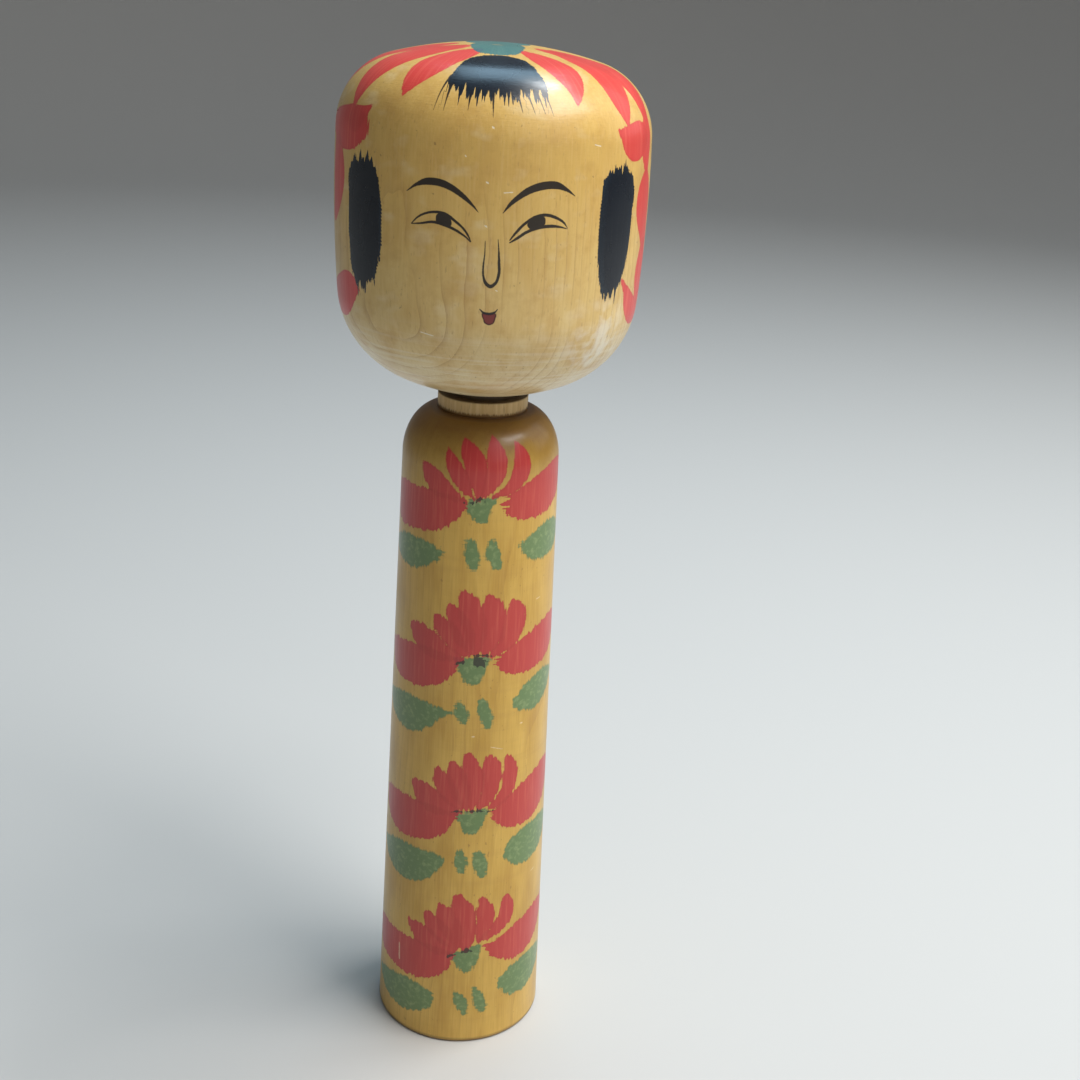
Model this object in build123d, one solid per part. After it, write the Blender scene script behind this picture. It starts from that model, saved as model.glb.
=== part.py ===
"""A turned wooden kokeshi doll: a barrel-shaped head on a flared column body.

The doll is two lathe-turned blocks. The body is a column that widens towards its
foot, rounds over at the shoulder and ends in a short plain collar with a blind
bore in it. The head is a barrel with a low crown and a round chin, and carries a
tenon that is pushed into the bore and turns there.

Frame: millimetres, +Z up, origin at the centre of the foot on the surface that
the doll stands on, face towards -Y.
"""
from build123d import *

import math
import os

# Driving dimensions, in millimetres
OVERALL_HEIGHT = 303.0       # foot to crown, one shaku

BASE_RADIUS = 26.3           # column at the foot
SHOULDER_RADIUS = 22.6       # column where the shoulder starts to round over
SHOULDER_DROP = 14.0         # height of the rounded shoulder
COLLAR_RADIUS = 12.9
COLLAR_HEIGHT = 4.4
BASE_EDGE_ROUND = 1.0        # worn lower edge of the foot
COLLAR_EDGE_ROUND = 0.4

HEAD_RADIUS = 42.35          # widest girth of the barrel
HEAD_HEIGHT = 93.4           # lowest point of the chin to the crown
GIRTH_HEIGHT = 54.9          # widest girth, above the lowest point of the chin
SIDE_ARC = 389.0             # radius of the barrel's slightly bowed side
CROWN_ARC = 103.2            # radius of the low dome on top
CROWN_CORNER = 19.5          # radius between the dome and the side
CHIN_ARC = 62.9              # radius of the dome underneath
JAW_CORNER = 26.5            # radius between the side and the chin

CHIN_GAP = 0.7               # collar top to the lowest point of the chin dome
TENON_RADIUS = 8.0
TENON_LENGTH = 25.0
TENON_CHAMFER = 1.5
SEAT_WIDTH = 2.0             # ring around the tenon that rests on the collar
TURNING_CLEARANCE = 0.05     # radial, between the tenon and its bore
BORE_SPARE_DEPTH = 3.0       # room left under the tenon
BORE_MOUTH_CHAMFER = 0.5

CLAW_COUNT = 4               # slits left in the foot by the lathe's drive claws
CLAW_INNER_RADIUS = 4.5
CLAW_LENGTH = 6.5
CLAW_WIDTH = 1.2
CLAW_DEPTH = 1.5
CENTRE_MARK_RADIUS = 1.4     # dimple left by the lathe's centre point
CENTRE_MARK_DEPTH = 1.6

# Sizes that follow from the ones above
BODY_HEIGHT = OVERALL_HEIGHT - HEAD_HEIGHT - CHIN_GAP
COLLAR_FOOT = BODY_HEIGHT - COLLAR_HEIGHT
SHOULDER_FOOT = COLLAR_FOOT - SHOULDER_DROP
SEAT_RADIUS = TENON_RADIUS + SEAT_WIDTH
BORE_RADIUS = TENON_RADIUS + TURNING_CLEARANCE
BORE_DEPTH = TENON_LENGTH + BORE_SPARE_DEPTH
CHIN_POINT = BODY_HEIGHT + CHIN_GAP


def along(start, towards, distance):
    """The point at a distance from start, in the direction of another point."""
    span = math.dist(start, towards)
    return tuple(s + (t - s) * distance / span for s, t in zip(start, towards))


def arc_about(centre, start, end):
    """The short arc from start to end about a centre."""
    radius = math.dist(centre, start)
    middle = tuple((s + e) / 2 for s, e in zip(start, end))
    return ThreePointArc(start, along(centre, middle, radius), end)


def corner_centre(dome, dome_radius, side, side_radius, radius):
    """Centre of the corner arc that touches a dome and a side arc from inside.

    It lies where a circle about each big centre, smaller by the corner's radius,
    crosses the other on the barrel's outer side.
    """
    from_dome = dome_radius - radius
    from_side = side_radius - radius
    span = math.dist(dome, side)
    reach = (from_dome ** 2 - from_side ** 2 + span ** 2) / (2 * span)
    offset = math.sqrt(from_dome ** 2 - reach ** 2)
    foot = along(dome, side, reach)
    step = ((side[1] - dome[1]) / span * offset, (side[0] - dome[0]) / span * offset)
    crossings = [(foot[0] + step[0], foot[1] - step[1]), (foot[0] - step[0], foot[1] + step[1])]
    return max(crossings)


def turned(outline):
    """The solid that a closed half outline makes when it is spun about the lathe's axis."""
    return revolve(make_face(Plane.XZ * (Curve() + outline)), Axis.Z)


def head_block():
    """The barrel-shaped head, with its seat ring and tenon in the same piece."""
    side = (HEAD_RADIUS - SIDE_ARC, CHIN_POINT + GIRTH_HEIGHT)
    crown = (0, OVERALL_HEIGHT - CROWN_ARC)
    chin = (0, CHIN_POINT + CHIN_ARC)
    crown_corner = corner_centre(crown, CROWN_ARC, side, SIDE_ARC, CROWN_CORNER)
    jaw = corner_centre(chin, CHIN_ARC, side, SIDE_ARC, JAW_CORNER)

    top = (0, OVERALL_HEIGHT)
    crown_edge = along(crown, crown_corner, CROWN_ARC)
    side_top = along(side, crown_corner, SIDE_ARC)
    side_foot = along(side, jaw, SIDE_ARC)
    chin_edge = along(chin, jaw, CHIN_ARC)
    seat_root = (SEAT_RADIUS, chin[1] - math.sqrt(CHIN_ARC ** 2 - SEAT_RADIUS ** 2))
    tenon_foot = BODY_HEIGHT - TENON_LENGTH

    outline = [
        arc_about(crown, top, crown_edge),
        arc_about(crown_corner, crown_edge, side_top),
        arc_about(side, side_top, side_foot),
        arc_about(jaw, side_foot, chin_edge),
        arc_about(chin, chin_edge, seat_root),
        Polyline(seat_root, (SEAT_RADIUS, BODY_HEIGHT), (TENON_RADIUS, BODY_HEIGHT),
                 (TENON_RADIUS, tenon_foot + TENON_CHAMFER),
                 (TENON_RADIUS - TENON_CHAMFER, tenon_foot), (0, tenon_foot), top),
    ]
    return turned(outline)


def lathe_marks():
    """The drive claws' slits, and the dimple of the centre point, in the foot."""
    slit = Pos(CLAW_INNER_RADIUS + CLAW_LENGTH / 2, 0, 0) * Box(CLAW_LENGTH, CLAW_WIDTH, 2 * CLAW_DEPTH)
    first_turn = 180 / CLAW_COUNT
    slits = [Rot(0, 0, first_turn + turn * 360 / CLAW_COUNT) * slit for turn in range(CLAW_COUNT)]
    dimple = Pos(0, 0, CENTRE_MARK_DEPTH / 2) * Cone(CENTRE_MARK_RADIUS, 0, CENTRE_MARK_DEPTH)
    return slits + [dimple]


def body_block():
    """The flared column with its rounded shoulder, collar, bore and lathe marks."""
    shoulder_run = SHOULDER_RADIUS - COLLAR_RADIUS
    shoulder = EllipticalCenterArc((COLLAR_RADIUS, SHOULDER_FOOT), shoulder_run, SHOULDER_DROP,
                                   start_angle=0, arc_size=90)
    outline = [
        Polyline((0, BODY_HEIGHT), (0, 0), (BASE_RADIUS, 0), (SHOULDER_RADIUS, SHOULDER_FOOT)),
        shoulder,
        Polyline((COLLAR_RADIUS, COLLAR_FOOT), (COLLAR_RADIUS, BODY_HEIGHT), (0, BODY_HEIGHT)),
    ]
    block = turned(outline)
    block = fillet(block.edges().group_by(Axis.Z)[0], BASE_EDGE_ROUND)
    block = fillet(block.edges().group_by(Axis.Z)[-1], COLLAR_EDGE_ROUND)

    bore_foot = BODY_HEIGHT - BORE_DEPTH
    mouth_radius = BORE_RADIUS + BORE_MOUTH_CHAMFER
    bore = turned([Polyline((0, bore_foot), (BORE_RADIUS, bore_foot),
                            (BORE_RADIUS, BODY_HEIGHT - BORE_MOUTH_CHAMFER),
                            (mouth_radius, BODY_HEIGHT), (0, BODY_HEIGHT), (0, bore_foot))])
    return block - bore - lathe_marks()


os.makedirs("parts", exist_ok=True)
for name, solid in {"body": body_block(), "head": head_block()}.items():
    solid.label = name
    export_step(solid, f"parts/{name}.step")
    low, high = solid.bounding_box().min, solid.bounding_box().max
    print(f"{name}: {solid.volume:.0f} mm3, z {low.Z:.2f} to {high.Z:.2f}, widest {high.X - low.X:.2f}")
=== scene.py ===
"""A kokeshi doll in turned wood: a barrel-shaped head that turns on a flared column body.

The two lathe-turned blocks are spun from their outlines. Hair, face and flowers are painted
on the wood: each brush mark is placed by its turn round the lathe's axis and its level along
the surface, and is stored on the mesh as its depth inside the mark's edge, in millimetres.
The finishes turn that depth into dye and ink with ragged, wood-soaked edges.

Turn is in degrees from the front, growing towards +X. Level is in millimetres: down the
surface from the crown on the head, and up from the foot on the body.
"""

import logging
import math
from dataclasses import dataclass, field
from enum import Enum
from typing import Any

import bmesh
import bpy
import numpy as np
from mathutils import Matrix, Vector


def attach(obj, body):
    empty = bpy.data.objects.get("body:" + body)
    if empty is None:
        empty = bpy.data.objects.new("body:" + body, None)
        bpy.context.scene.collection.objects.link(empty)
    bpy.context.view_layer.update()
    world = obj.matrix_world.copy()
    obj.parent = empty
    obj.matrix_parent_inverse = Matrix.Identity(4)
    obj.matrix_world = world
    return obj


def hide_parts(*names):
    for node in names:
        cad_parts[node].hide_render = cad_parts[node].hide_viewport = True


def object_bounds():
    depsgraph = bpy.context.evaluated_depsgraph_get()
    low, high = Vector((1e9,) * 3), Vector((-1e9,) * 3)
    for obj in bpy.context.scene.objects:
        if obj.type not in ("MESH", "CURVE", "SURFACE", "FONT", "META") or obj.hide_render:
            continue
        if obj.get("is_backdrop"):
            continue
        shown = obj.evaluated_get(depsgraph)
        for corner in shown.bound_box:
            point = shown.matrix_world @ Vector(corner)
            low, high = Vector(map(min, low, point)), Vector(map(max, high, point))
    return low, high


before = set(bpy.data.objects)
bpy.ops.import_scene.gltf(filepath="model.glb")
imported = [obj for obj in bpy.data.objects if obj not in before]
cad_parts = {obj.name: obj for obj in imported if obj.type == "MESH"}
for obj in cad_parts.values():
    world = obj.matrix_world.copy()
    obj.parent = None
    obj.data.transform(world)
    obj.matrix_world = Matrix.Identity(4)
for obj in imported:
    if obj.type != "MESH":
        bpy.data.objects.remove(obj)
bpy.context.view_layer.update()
log = logging.getLogger("kokeshi")

MM = 0.001
REACH = 6.0                    # how far from a mark its depth is followed, in mm
DEGREE = 0.7                   # rough length of a degree of turn on the head, in mm
DRYING = 7.0                   # how far from its end a brush stroke runs dry, in mm
STAND_OFF = 1.5                # points further than this off the painted side stay bare, in mm
WELD = 0.002                   # points closer than this are one
CREASE = math.radians(35)      # edges sharper than this stay sharp

Dab = tuple[float, float, float]          # turn, level, half width
Spot = tuple[float, float]                # turn, level
Colour = tuple[float, float, float]


def flowing(knots: np.ndarray, spacing: float, closed: bool = False) -> np.ndarray:
    """Draws a smooth curve through given knots.

    Args:
        knots: A row for each knot: turn, level, and anything else that varies along the curve.
        spacing: Rough distance between the samples, in mm.
        closed: Whether the curve comes back to its first knot.

    Returns:
        A row for each sample, with the knots' columns.
    """
    if closed:
        knots = np.vstack([knots[-1:], knots, knots[:2]])
    steps = np.linalg.norm(np.diff(knots[:, :2] * (DEGREE, 1.0), axis=0), axis=1)
    slopes = np.diff(knots, axis=0) / steps[:, None]
    lead, trail = steps[:-1, None], steps[1:, None]
    inner = (slopes[:-1] * trail + slopes[1:] * lead) / (lead + trail)
    slants = np.vstack([slopes[:1], inner, slopes[-1:]])
    spans = range(1, len(knots) - 2) if closed else range(len(knots) - 1)
    samples = []
    for i in spans:
        count = max(2, math.ceil(steps[i] / spacing))
        t = np.linspace(0, 1, count, endpoint=False)[:, None]
        leaving, arriving = steps[i] * slants[i], steps[i] * slants[i + 1]
        samples.append((2 * t**3 - 3 * t**2 + 1) * knots[i] + (t**3 - 2 * t**2 + t) * leaving
                       + (3 * t**2 - 2 * t**3) * knots[i + 1] + (t**3 - t**2) * arriving)
    if not closed:
        samples.append(knots[-1:])
    return np.vstack(samples)


class Outline:
    """Half the outline of a spun shape, drawn by sweeping and pushing one point.

    It lies in the plane behind the axis, so the seam of the spun shape is at the back.
    """

    def __init__(self, radius: float, height: float) -> None:
        """Puts the point at its start.

        Args:
            radius: Its distance from the axis.
            height: Its height.
        """
        self.sheet = bmesh.new()
        self.level = self.sheet.verts.layers.float.new("level")
        self.start = self.tip = self.sheet.verts.new((0, radius, height))

    def arc(self, centre: Spot, end: Spot, spacing: float, tall: float = 1.0) -> None:
        """Sweeps the point about a centre.

        Args:
            centre: Radius and height of the arc's centre.
            end: Radius and height where the arc ends.
            spacing: Distance between the points left along it.
            tall: Stretch of the arc along the axis, for an ellipse.
        """
        first, last = (math.atan2((at[1] - centre[1]) / tall, at[0] - centre[0])
                       for at in ((self.tip.co.y, self.tip.co.z), end))
        sweep = (last - first + math.pi) % (2 * math.pi) - math.pi
        size = math.hypot(end[0] - centre[0], (end[1] - centre[1]) / tall)
        pivot = Vector((0, *centre))
        about = Matrix.Translation(-pivot)
        bmesh.ops.scale(self.sheet, vec=(1, 1, 1 / tall), space=about, verts=[self.tip])
        before = set(self.sheet.verts) - {self.tip}
        swept = bmesh.ops.spin(self.sheet, geom=[self.tip], cent=pivot, axis=(1, 0, 0), dvec=(0, 0, 0),
                               angle=sweep, steps=max(1, round(abs(sweep) * size * max(1, tall) / spacing)))
        bmesh.ops.scale(self.sheet, vec=(1, 1, tall), space=about,
                        verts=[v for v in self.sheet.verts if v not in before])
        self.tip = next(v for v in swept["geom_last"] if isinstance(v, bmesh.types.BMVert))
        self.tip.co = (0, *end)

    def run(self, end: Spot, spacing: float = 1000.0) -> None:
        """Pushes the point straight to a place.

        Args:
            end: Radius and height of the place.
            spacing: Distance between the points left on the way.
        """
        way = Vector((0, *end)) - self.tip.co
        steps = max(1, round(way.length / spacing))
        pushed = bmesh.ops.spin(self.sheet, geom=[self.tip], cent=(0, 0, 0), axis=(1, 0, 0),
                                dvec=way / steps, angle=0, steps=steps)
        self.tip = next(v for v in pushed["geom_last"] if isinstance(v, bmesh.types.BMVert))
        self.tip.co = (0, *end)

    def walk(self) -> list[bmesh.types.BMVert]:
        """Follows the outline.

        Returns:
            Its points, in order from its start.
        """
        order, edge = [self.start], None
        while True:
            onward = [e for e in order[-1].link_edges if e is not edge]
            if not onward:
                return order
            edge = onward[0]
            order.append(edge.other_vert(order[-1]))

    def spun(self, sectors: tuple[tuple[float, int], ...]) -> tuple[bmesh.types.BMesh, np.ndarray]:
        """Spins the outline once round, in sectors of different fineness.

        Args:
            sectors: The angle and the number of steps of each sector, from the back by way of -X.

        Returns:
            The closed shape, with a level layer, and a row of level, radius and height for each
            point of the outline. The level here is the length walked along the outline.
        """
        shape, points = self.sheet, self.walk()
        rail, walked = [], 0.0
        for last, point in zip([points[0], *points], points):
            walked += (point.co - last.co).length
            point[self.level] = walked
            rail.append((walked, point.co.y, point.co.z))
        front = [*shape.verts, *shape.edges]
        for angle, steps in sectors:
            front = bmesh.ops.spin(shape, geom=front, cent=(0, 0, 0), axis=(0, 0, 1), dvec=(0, 0, 0),
                                   angle=math.radians(angle), steps=steps)["geom_last"]
        bmesh.ops.remove_doubles(shape, verts=shape.verts, dist=WELD)
        bmesh.ops.recalc_face_normals(shape, faces=shape.faces)
        return shape, np.array(rail)


@dataclass
class TurnedForm:
    """A spun mesh, with the place of each of its points round and along the lathe's axis.

    Attributes:
        mesh: The mesh, in metres, with a level for each point.
        rail: Level, radius and height along the painted side.
        spots: Where the points are, in mm.
        turn: Their turn.
        level: Their level.
        skin: Whether they lie on the painted side.
    """

    mesh: bpy.types.Mesh
    rail: np.ndarray
    spots: np.ndarray = field(init=False)
    turn: np.ndarray = field(init=False)
    level: np.ndarray = field(init=False)
    skin: np.ndarray = field(init=False)

    def __post_init__(self) -> None:
        """Reads where the mesh's points are."""
        count = len(self.mesh.vertices)
        flat, self.level = np.empty(count * 3), np.empty(count)
        self.mesh.vertices.foreach_get("co", flat)
        self.spots = flat.reshape(-1, 3) / MM
        self.mesh.attributes["level"].data.foreach_get("value", self.level)
        self.turn = np.degrees(np.arctan2(self.spots[:, 0], -self.spots[:, 1]))
        meant = self.place(np.column_stack([self.turn, self.level]))
        self.skin = np.linalg.norm(meant - self.spots, axis=1) < STAND_OFF

    def place(self, samples: np.ndarray) -> np.ndarray:
        """Finds samples on the painted side.

        Args:
            samples: A row for each sample, with its turn and level first.

        Returns:
            Where they are, in mm.
        """
        around = np.radians(samples[:, 0])
        radius = np.interp(samples[:, 1], self.rail[:, 0], self.rail[:, 1])
        height = np.interp(samples[:, 1], self.rail[:, 0], self.rail[:, 2])
        return np.column_stack([radius * np.sin(around), -radius * np.cos(around), height])

    def near(self, places: np.ndarray, margin: float) -> np.ndarray:
        """Picks the painted points about some places.

        Args:
            places: The places, in mm.
            margin: How far round their box to look, in mm.

        Returns:
            The numbers of the points.
        """
        low, high = places.min(axis=0) - margin, places.max(axis=0) + margin
        return np.flatnonzero(self.skin & np.all((self.spots > low) & (self.spots < high), axis=1))

    def store(self, name: str, values: np.ndarray) -> None:
        """Keeps a value for each point of the mesh, for its finish to read."""
        kept = self.mesh.attributes.get(name) or self.mesh.attributes.new(name, "FLOAT", "POINT")
        kept.data.foreach_set("value", values.astype(np.float32))


def apart(spots: np.ndarray, places: np.ndarray) -> np.ndarray:
    """Measures the distance from every spot to every place.

    Args:
        spots: A row for each spot.
        places: A row for each place.

    Returns:
        A row for each spot, with its distance to each place.
    """
    square = (spots**2).sum(axis=1)[:, None] + (places**2).sum(axis=1) - 2 * spots @ places.T
    return np.sqrt(np.maximum(square, 0))


@dataclass(frozen=True)
class BrushStroke:
    """A stroke of a loaded brush, as dabs of varying width.

    Attributes:
        dabs: Turn, level and half width along the stroke.
        dry: How ragged the stroke's start and end are, in mm.
    """

    dabs: tuple[Dab, ...]
    dry: tuple[float, float] = (0.0, 0.0)


@dataclass(frozen=True)
class Patch:
    """A filled shape, as the spots that its edge flows through.

    Attributes:
        edge: Turn and level round the shape.
        frays: How far loose hairs leave the top and the bottom edge, in mm.
    """

    edge: tuple[Spot, ...]
    frays: tuple[float, float] = (0.0, 0.0)


class PaintLayer:
    """How deep each point of the wood lies inside the marks of one colour."""

    def __init__(self, form: TurnedForm, name: str) -> None:
        """Starts with no marks.

        Args:
            form: What is painted.
            name: The layer's name.
        """
        self.form, self.name = form, name
        self.depth = np.full(len(form.spots), -REACH)
        self.twice = self.depth.copy()
        self.fray = np.zeros(len(form.spots))

    def _merge(self, near: np.ndarray, depth: np.ndarray, fray: np.ndarray) -> None:
        """Adds a mark.

        Args:
            near: The numbers of the points near the mark.
            depth: How deep they lie inside it, in mm.
            fray: How ragged it is at each of them, in mm.
        """
        self.fray[near] = np.where(depth > self.depth[near], fray, self.fray[near])
        self.twice[near] = np.maximum(self.twice[near], np.minimum(self.depth[near], depth))
        self.depth[near] = np.maximum(self.depth[near], depth)

    def lay(self, stroke: BrushStroke) -> None:
        """Paints one brush stroke.

        Args:
            stroke: The stroke.
        """
        path = flowing(np.array(stroke.dabs, dtype=float), 0.35)
        places, widths = self.form.place(path), np.maximum(path[:, 2], 0.05)
        near = self.form.near(places, widths.max() + REACH)
        inside = widths - apart(self.form.spots[near], places)
        best = inside.argmax(axis=1)
        along = np.append(0, np.cumsum(np.linalg.norm(np.diff(places, axis=0), axis=1)))
        start = np.clip(1 - along[best] / DRYING, 0, 1) * stroke.dry[0]
        end = np.clip(1 - (along[-1] - along[best]) / DRYING, 0, 1) * stroke.dry[1]
        self._merge(near, inside.max(axis=1), np.maximum(start, end))

    def fill(self, patch: Patch) -> None:
        """Paints one filled shape.

        Args:
            patch: The shape.
        """
        edge = flowing(np.array(patch.edge, dtype=float), 0.3, closed=True)
        places = self.form.place(edge)
        near = self.form.near(places, REACH)
        gaps = apart(self.form.spots[near], places)
        nearest = gaps.argmin(axis=1)
        turn, level = self.form.turn[near, None], self.form.level[near, None]
        after = np.roll(edge, -1, axis=0)
        spans = (edge[:, 1] > level) != (after[:, 1] > level)
        rise = np.where(after[:, 1] == edge[:, 1], 1e-9, after[:, 1] - edge[:, 1])
        crossing = edge[:, 0] + (level - edge[:, 1]) / rise * (after[:, 0] - edge[:, 0])
        inside = (spans & (turn < crossing)).sum(axis=1) % 2 == 1
        gap = gaps.min(axis=1)
        upward = (level[:, 0] - edge[nearest, 1]) / np.maximum(gap, 0.05)
        fray = np.clip(upward**2, 0, 1) * np.where((upward > 0) == inside, *patch.frays)
        self._merge(near, np.where(inside, gap, -gap), fray)

    def keep(self) -> None:
        """Stores the layer on the mesh."""
        self.form.store(self.name, self.depth)
        self.form.store(self.name + "_twice", self.twice)
        self.form.store(self.name + "_fray", self.fray)


class LineLayer:
    """Fine lines of one brush: how far each point is off a line's middle, and the half width there.

    The distance changes sign across a line, so that a line finer than the mesh stays smooth.
    """

    FAR = 2.2                      # beyond this a point is no part of a line, in mm
    CAP = 3.0                      # the distance is stored up to this, in mm

    def __init__(self, form: TurnedForm, name: str) -> None:
        """Starts with no lines.

        Args:
            form: What is drawn on.
            name: The layer's name.
        """
        self.form, self.name = form, name
        self.gap = np.full(len(form.spots), np.inf)
        self.off = np.full(len(form.spots), self.CAP)
        self.width = np.full(len(form.spots), -1.0)

    def draw(self, dabs: tuple[Dab, ...]) -> None:
        """Draws one line.

        Args:
            dabs: Turn, level and half width along the line.
        """
        path = flowing(np.array(dabs, dtype=float), 0.2)
        places, widths = self.form.place(path), np.maximum(path[:, 2], 0.04)
        near = self.form.near(places, self.FAR + 2)
        spots = self.form.spots[near]
        gaps = apart(spots, places)
        nearest = gaps.argmin(axis=1)
        course = np.gradient(places, axis=0)
        course /= np.linalg.norm(course, axis=1)[:, None]
        outward = places * (1, 1, 0) / np.linalg.norm(places[:, :2], axis=1)[:, None]
        across = np.cross(outward, course)
        from_line = spots - places[nearest]
        off = (from_line * across[nearest]).sum(axis=1)
        ahead = (from_line * course[nearest]).sum(axis=1)
        beyond = np.where(nearest == 0, -ahead, np.where(nearest == len(places) - 1, ahead, 0))
        fading = 3 * np.maximum(np.abs(off) - self.FAR + 0.5, 0)
        width = widths[nearest] - np.maximum(beyond, 0) - fading
        closest = gaps.min(axis=1)
        mine = closest < self.gap[near]
        chosen = near[mine]
        self.gap[chosen] = closest[mine]
        self.off[chosen] = np.clip(off[mine], -self.CAP, self.CAP)
        self.width[chosen] = np.maximum(width[mine], -1)

    def keep(self) -> None:
        """Stores the lines on the mesh."""
        self.form.store(self.name + "_off", self.off)
        self.form.store(self.name + "_width", self.width)


class Value:
    """A shader value that adds Math nodes when it is used in an expression."""

    def __init__(self, bench: "Bench", socket: bpy.types.NodeSocket) -> None:
        """Wraps a node's output."""
        self.bench, self.socket = bench, socket

    def maths(self, operation: str, *others: Any, clamp: bool = False) -> "Value":
        """Adds one Math node that starts from this value.

        Args:
            operation: What the node does.
            others: Its other numbers or values.
            clamp: Whether the result is kept within 0 and 1.

        Returns:
            The result.
        """
        settings = {"operation": operation, "use_clamp": clamp}
        return self.bench.node("ShaderNodeMath", settings, dict(enumerate((self, *others))))

    def most(self, *others: "Value") -> "Value":
        """Compares this value with some others.

        Args:
            others: The other values.

        Returns:
            The largest.
        """
        largest = self
        for other in others:
            largest = largest.maths("MAXIMUM", other)
        return largest

    def __add__(self, other: Any) -> "Value":
        """self + other."""
        return self.maths("ADD", other)

    __radd__ = __add__

    def __sub__(self, other: Any) -> "Value":
        """self - other."""
        return self.maths("SUBTRACT", other)

    def __rsub__(self, other: Any) -> "Value":
        """other - self."""
        return self.maths("MULTIPLY_ADD", -1.0, other)

    def __mul__(self, other: Any) -> "Value":
        """self * other."""
        return self.maths("MULTIPLY", other)

    __rmul__ = __mul__

    def __pow__(self, other: Any) -> "Value":
        """self ** other."""
        return self.maths("POWER", other)

    def __abs__(self) -> "Value":
        """abs(self)."""
        return self.maths("ABSOLUTE")

    def ramp(self, start: float, end: float) -> "Value":
        """0 at start, 1 at end, straight between and level beyond."""
        return self.maths("MULTIPLY_ADD", 1 / (end - start), -start / (end - start), clamp=True)


class Bench:
    """A material's node tree, and the ways of adding to it."""

    RING = 40.0                    # radius at which streaks have their stated size, in mm
    RELIEF = 0.55                  # strength of the surface relief
    WAX = {"Coat Weight": 0.12, "Coat Roughness": 0.12, "IOR": 1.46}

    def __init__(self, name: str) -> None:
        """Starts a material.

        Args:
            name: The material's name.
        """
        self.material = bpy.data.materials.new(name)
        self.material.use_nodes = True
        self.tree = self.material.node_tree
        self.tree.nodes.clear()
        place = self.node("ShaderNodeTexCoord", {}, {}, "Object")
        self.place = self.vector("SCALE", place, 1 / MM)
        self.height = self.node("ShaderNodeSeparateXYZ", {}, {0: self.place}, "Z")
        self.flat = self.vector("MULTIPLY", self.place, (1, 1, 0))
        self.facing = self.vector("NORMALIZE", self.flat)

    def node(self, kind: str, settings: dict[str, Any], sockets: dict[Any, Any],
             output: Any = 0) -> Value:
        """Adds a node.

        Args:
            kind: The node's type.
            settings: Its own settings, set before its sockets. "stops" are a colour ramp's.
            sockets: A number, a plain or named colour, or an earlier Value for each input, by
                the input's name or place.
            output: The name or place of the output to hand back.

        Returns:
            The chosen output.
        """
        made = self.tree.nodes.new(kind)
        for key, setting in settings.items():
            if key == "stops":
                bar = made.color_ramp.elements
                while len(bar) < len(setting):
                    bar.new(0.5)
                for stop, (at, colour) in zip(bar, setting):
                    stop.position, stop.color = at, (*colour, 1)
            else:
                setattr(made, key, setting)
        for key, value in sockets.items():
            if isinstance(value, Enum):
                value = value.value
            if isinstance(value, Value):
                self.tree.links.new(value.socket, made.inputs[key])
            elif isinstance(value, tuple) and made.inputs[key].type == "RGBA":
                made.inputs[key].default_value = (*value, 1)
            else:
                made.inputs[key].default_value = value
        return Value(self, made.outputs[output] if made.outputs else None)

    def vector(self, operation: str, first: Value, other: Any = None, output: str = "Vector") -> Value:
        """Adds one Vector Math node.

        Args:
            operation: What the node does.
            first: Its first vector.
            other: Its second vector, or the number to scale by.
            output: "Value" where the result is a number.

        Returns:
            The result.
        """
        sockets = {0: first}
        if other is not None:
            sockets["Scale" if operation == "SCALE" else 1] = other
        return self.node("ShaderNodeVectorMath", {"operation": operation}, sockets, output)

    def stored(self, name: str) -> Value:
        """A value kept on the mesh."""
        return self.node("ShaderNodeAttribute", {"attribute_name": name}, {}, "Fac")

    def blend(self, share: Any, under: Any, over: Any, way: str = "MIX") -> Value:
        """Lays one colour over another."""
        settings = {"data_type": "RGBA", "blend_type": way, "clamp_factor": True}
        return self.node("ShaderNodeMix", settings, {0: share, 6: under, 7: over}, 2)

    def noise(self, vector: Value, size: float, detail: float = 2.0, rough: float = 0.5) -> Value:
        """Smooth noise about 0.5, with features of about a size."""
        sockets = {"Vector": vector, "Scale": 1 / size, "Detail": detail, "Roughness": rough}
        return self.node("ShaderNodeTexNoise", {}, sockets, "Fac")

    def stretched(self, across: float, along: float, shift: float = 0.0, detail: float = 2.0) -> Value:
        """Noise in place, stretched along the block.

        Args:
            across: Size of the features across the axis, in mm.
            along: Their size along the axis, in mm.
            shift: Moves the pattern, to tell one from another.
            detail: How much finer noise is added.

        Returns:
            Noise about 0.5.
        """
        scaled = self.node("ShaderNodeMapping", {"vector_type": "POINT"},
                           {"Vector": self.place, "Location": (shift, shift, shift),
                            "Scale": (1 / across, 1 / across, 1 / along)})
        return self.noise(scaled, 1.0, detail)

    def streaks(self, level: Value, around: float, along: float, shift: float = 0.0,
                detail: float = 2.0) -> Value:
        """Noise that follows the turned surface.

        Args:
            level: Level on the surface, in mm.
            around: Size of the features round the axis, in mm.
            along: Their size along the surface, in mm.
            shift: Moves the pattern, to tell one from another.
            detail: How much finer noise is added.

        Returns:
            Noise about 0.5.
        """
        ring = self.vector("SCALE", self.facing, self.RING / around)
        rise = self.node("ShaderNodeCombineXYZ", {}, {"Z": level * (1 / along) + shift})
        return self.noise(self.vector("ADD", ring, rise), 1.0, detail)

    def spot(self, centre: tuple[float, float, float], radius: float, soft: float = 0.6) -> Value:
        """1 near a point in mm, fading to 0 at a radius."""
        gap = self.vector("DISTANCE", self.place, centre, "Value")
        return gap.ramp(radius, radius * (1 - soft))

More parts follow.
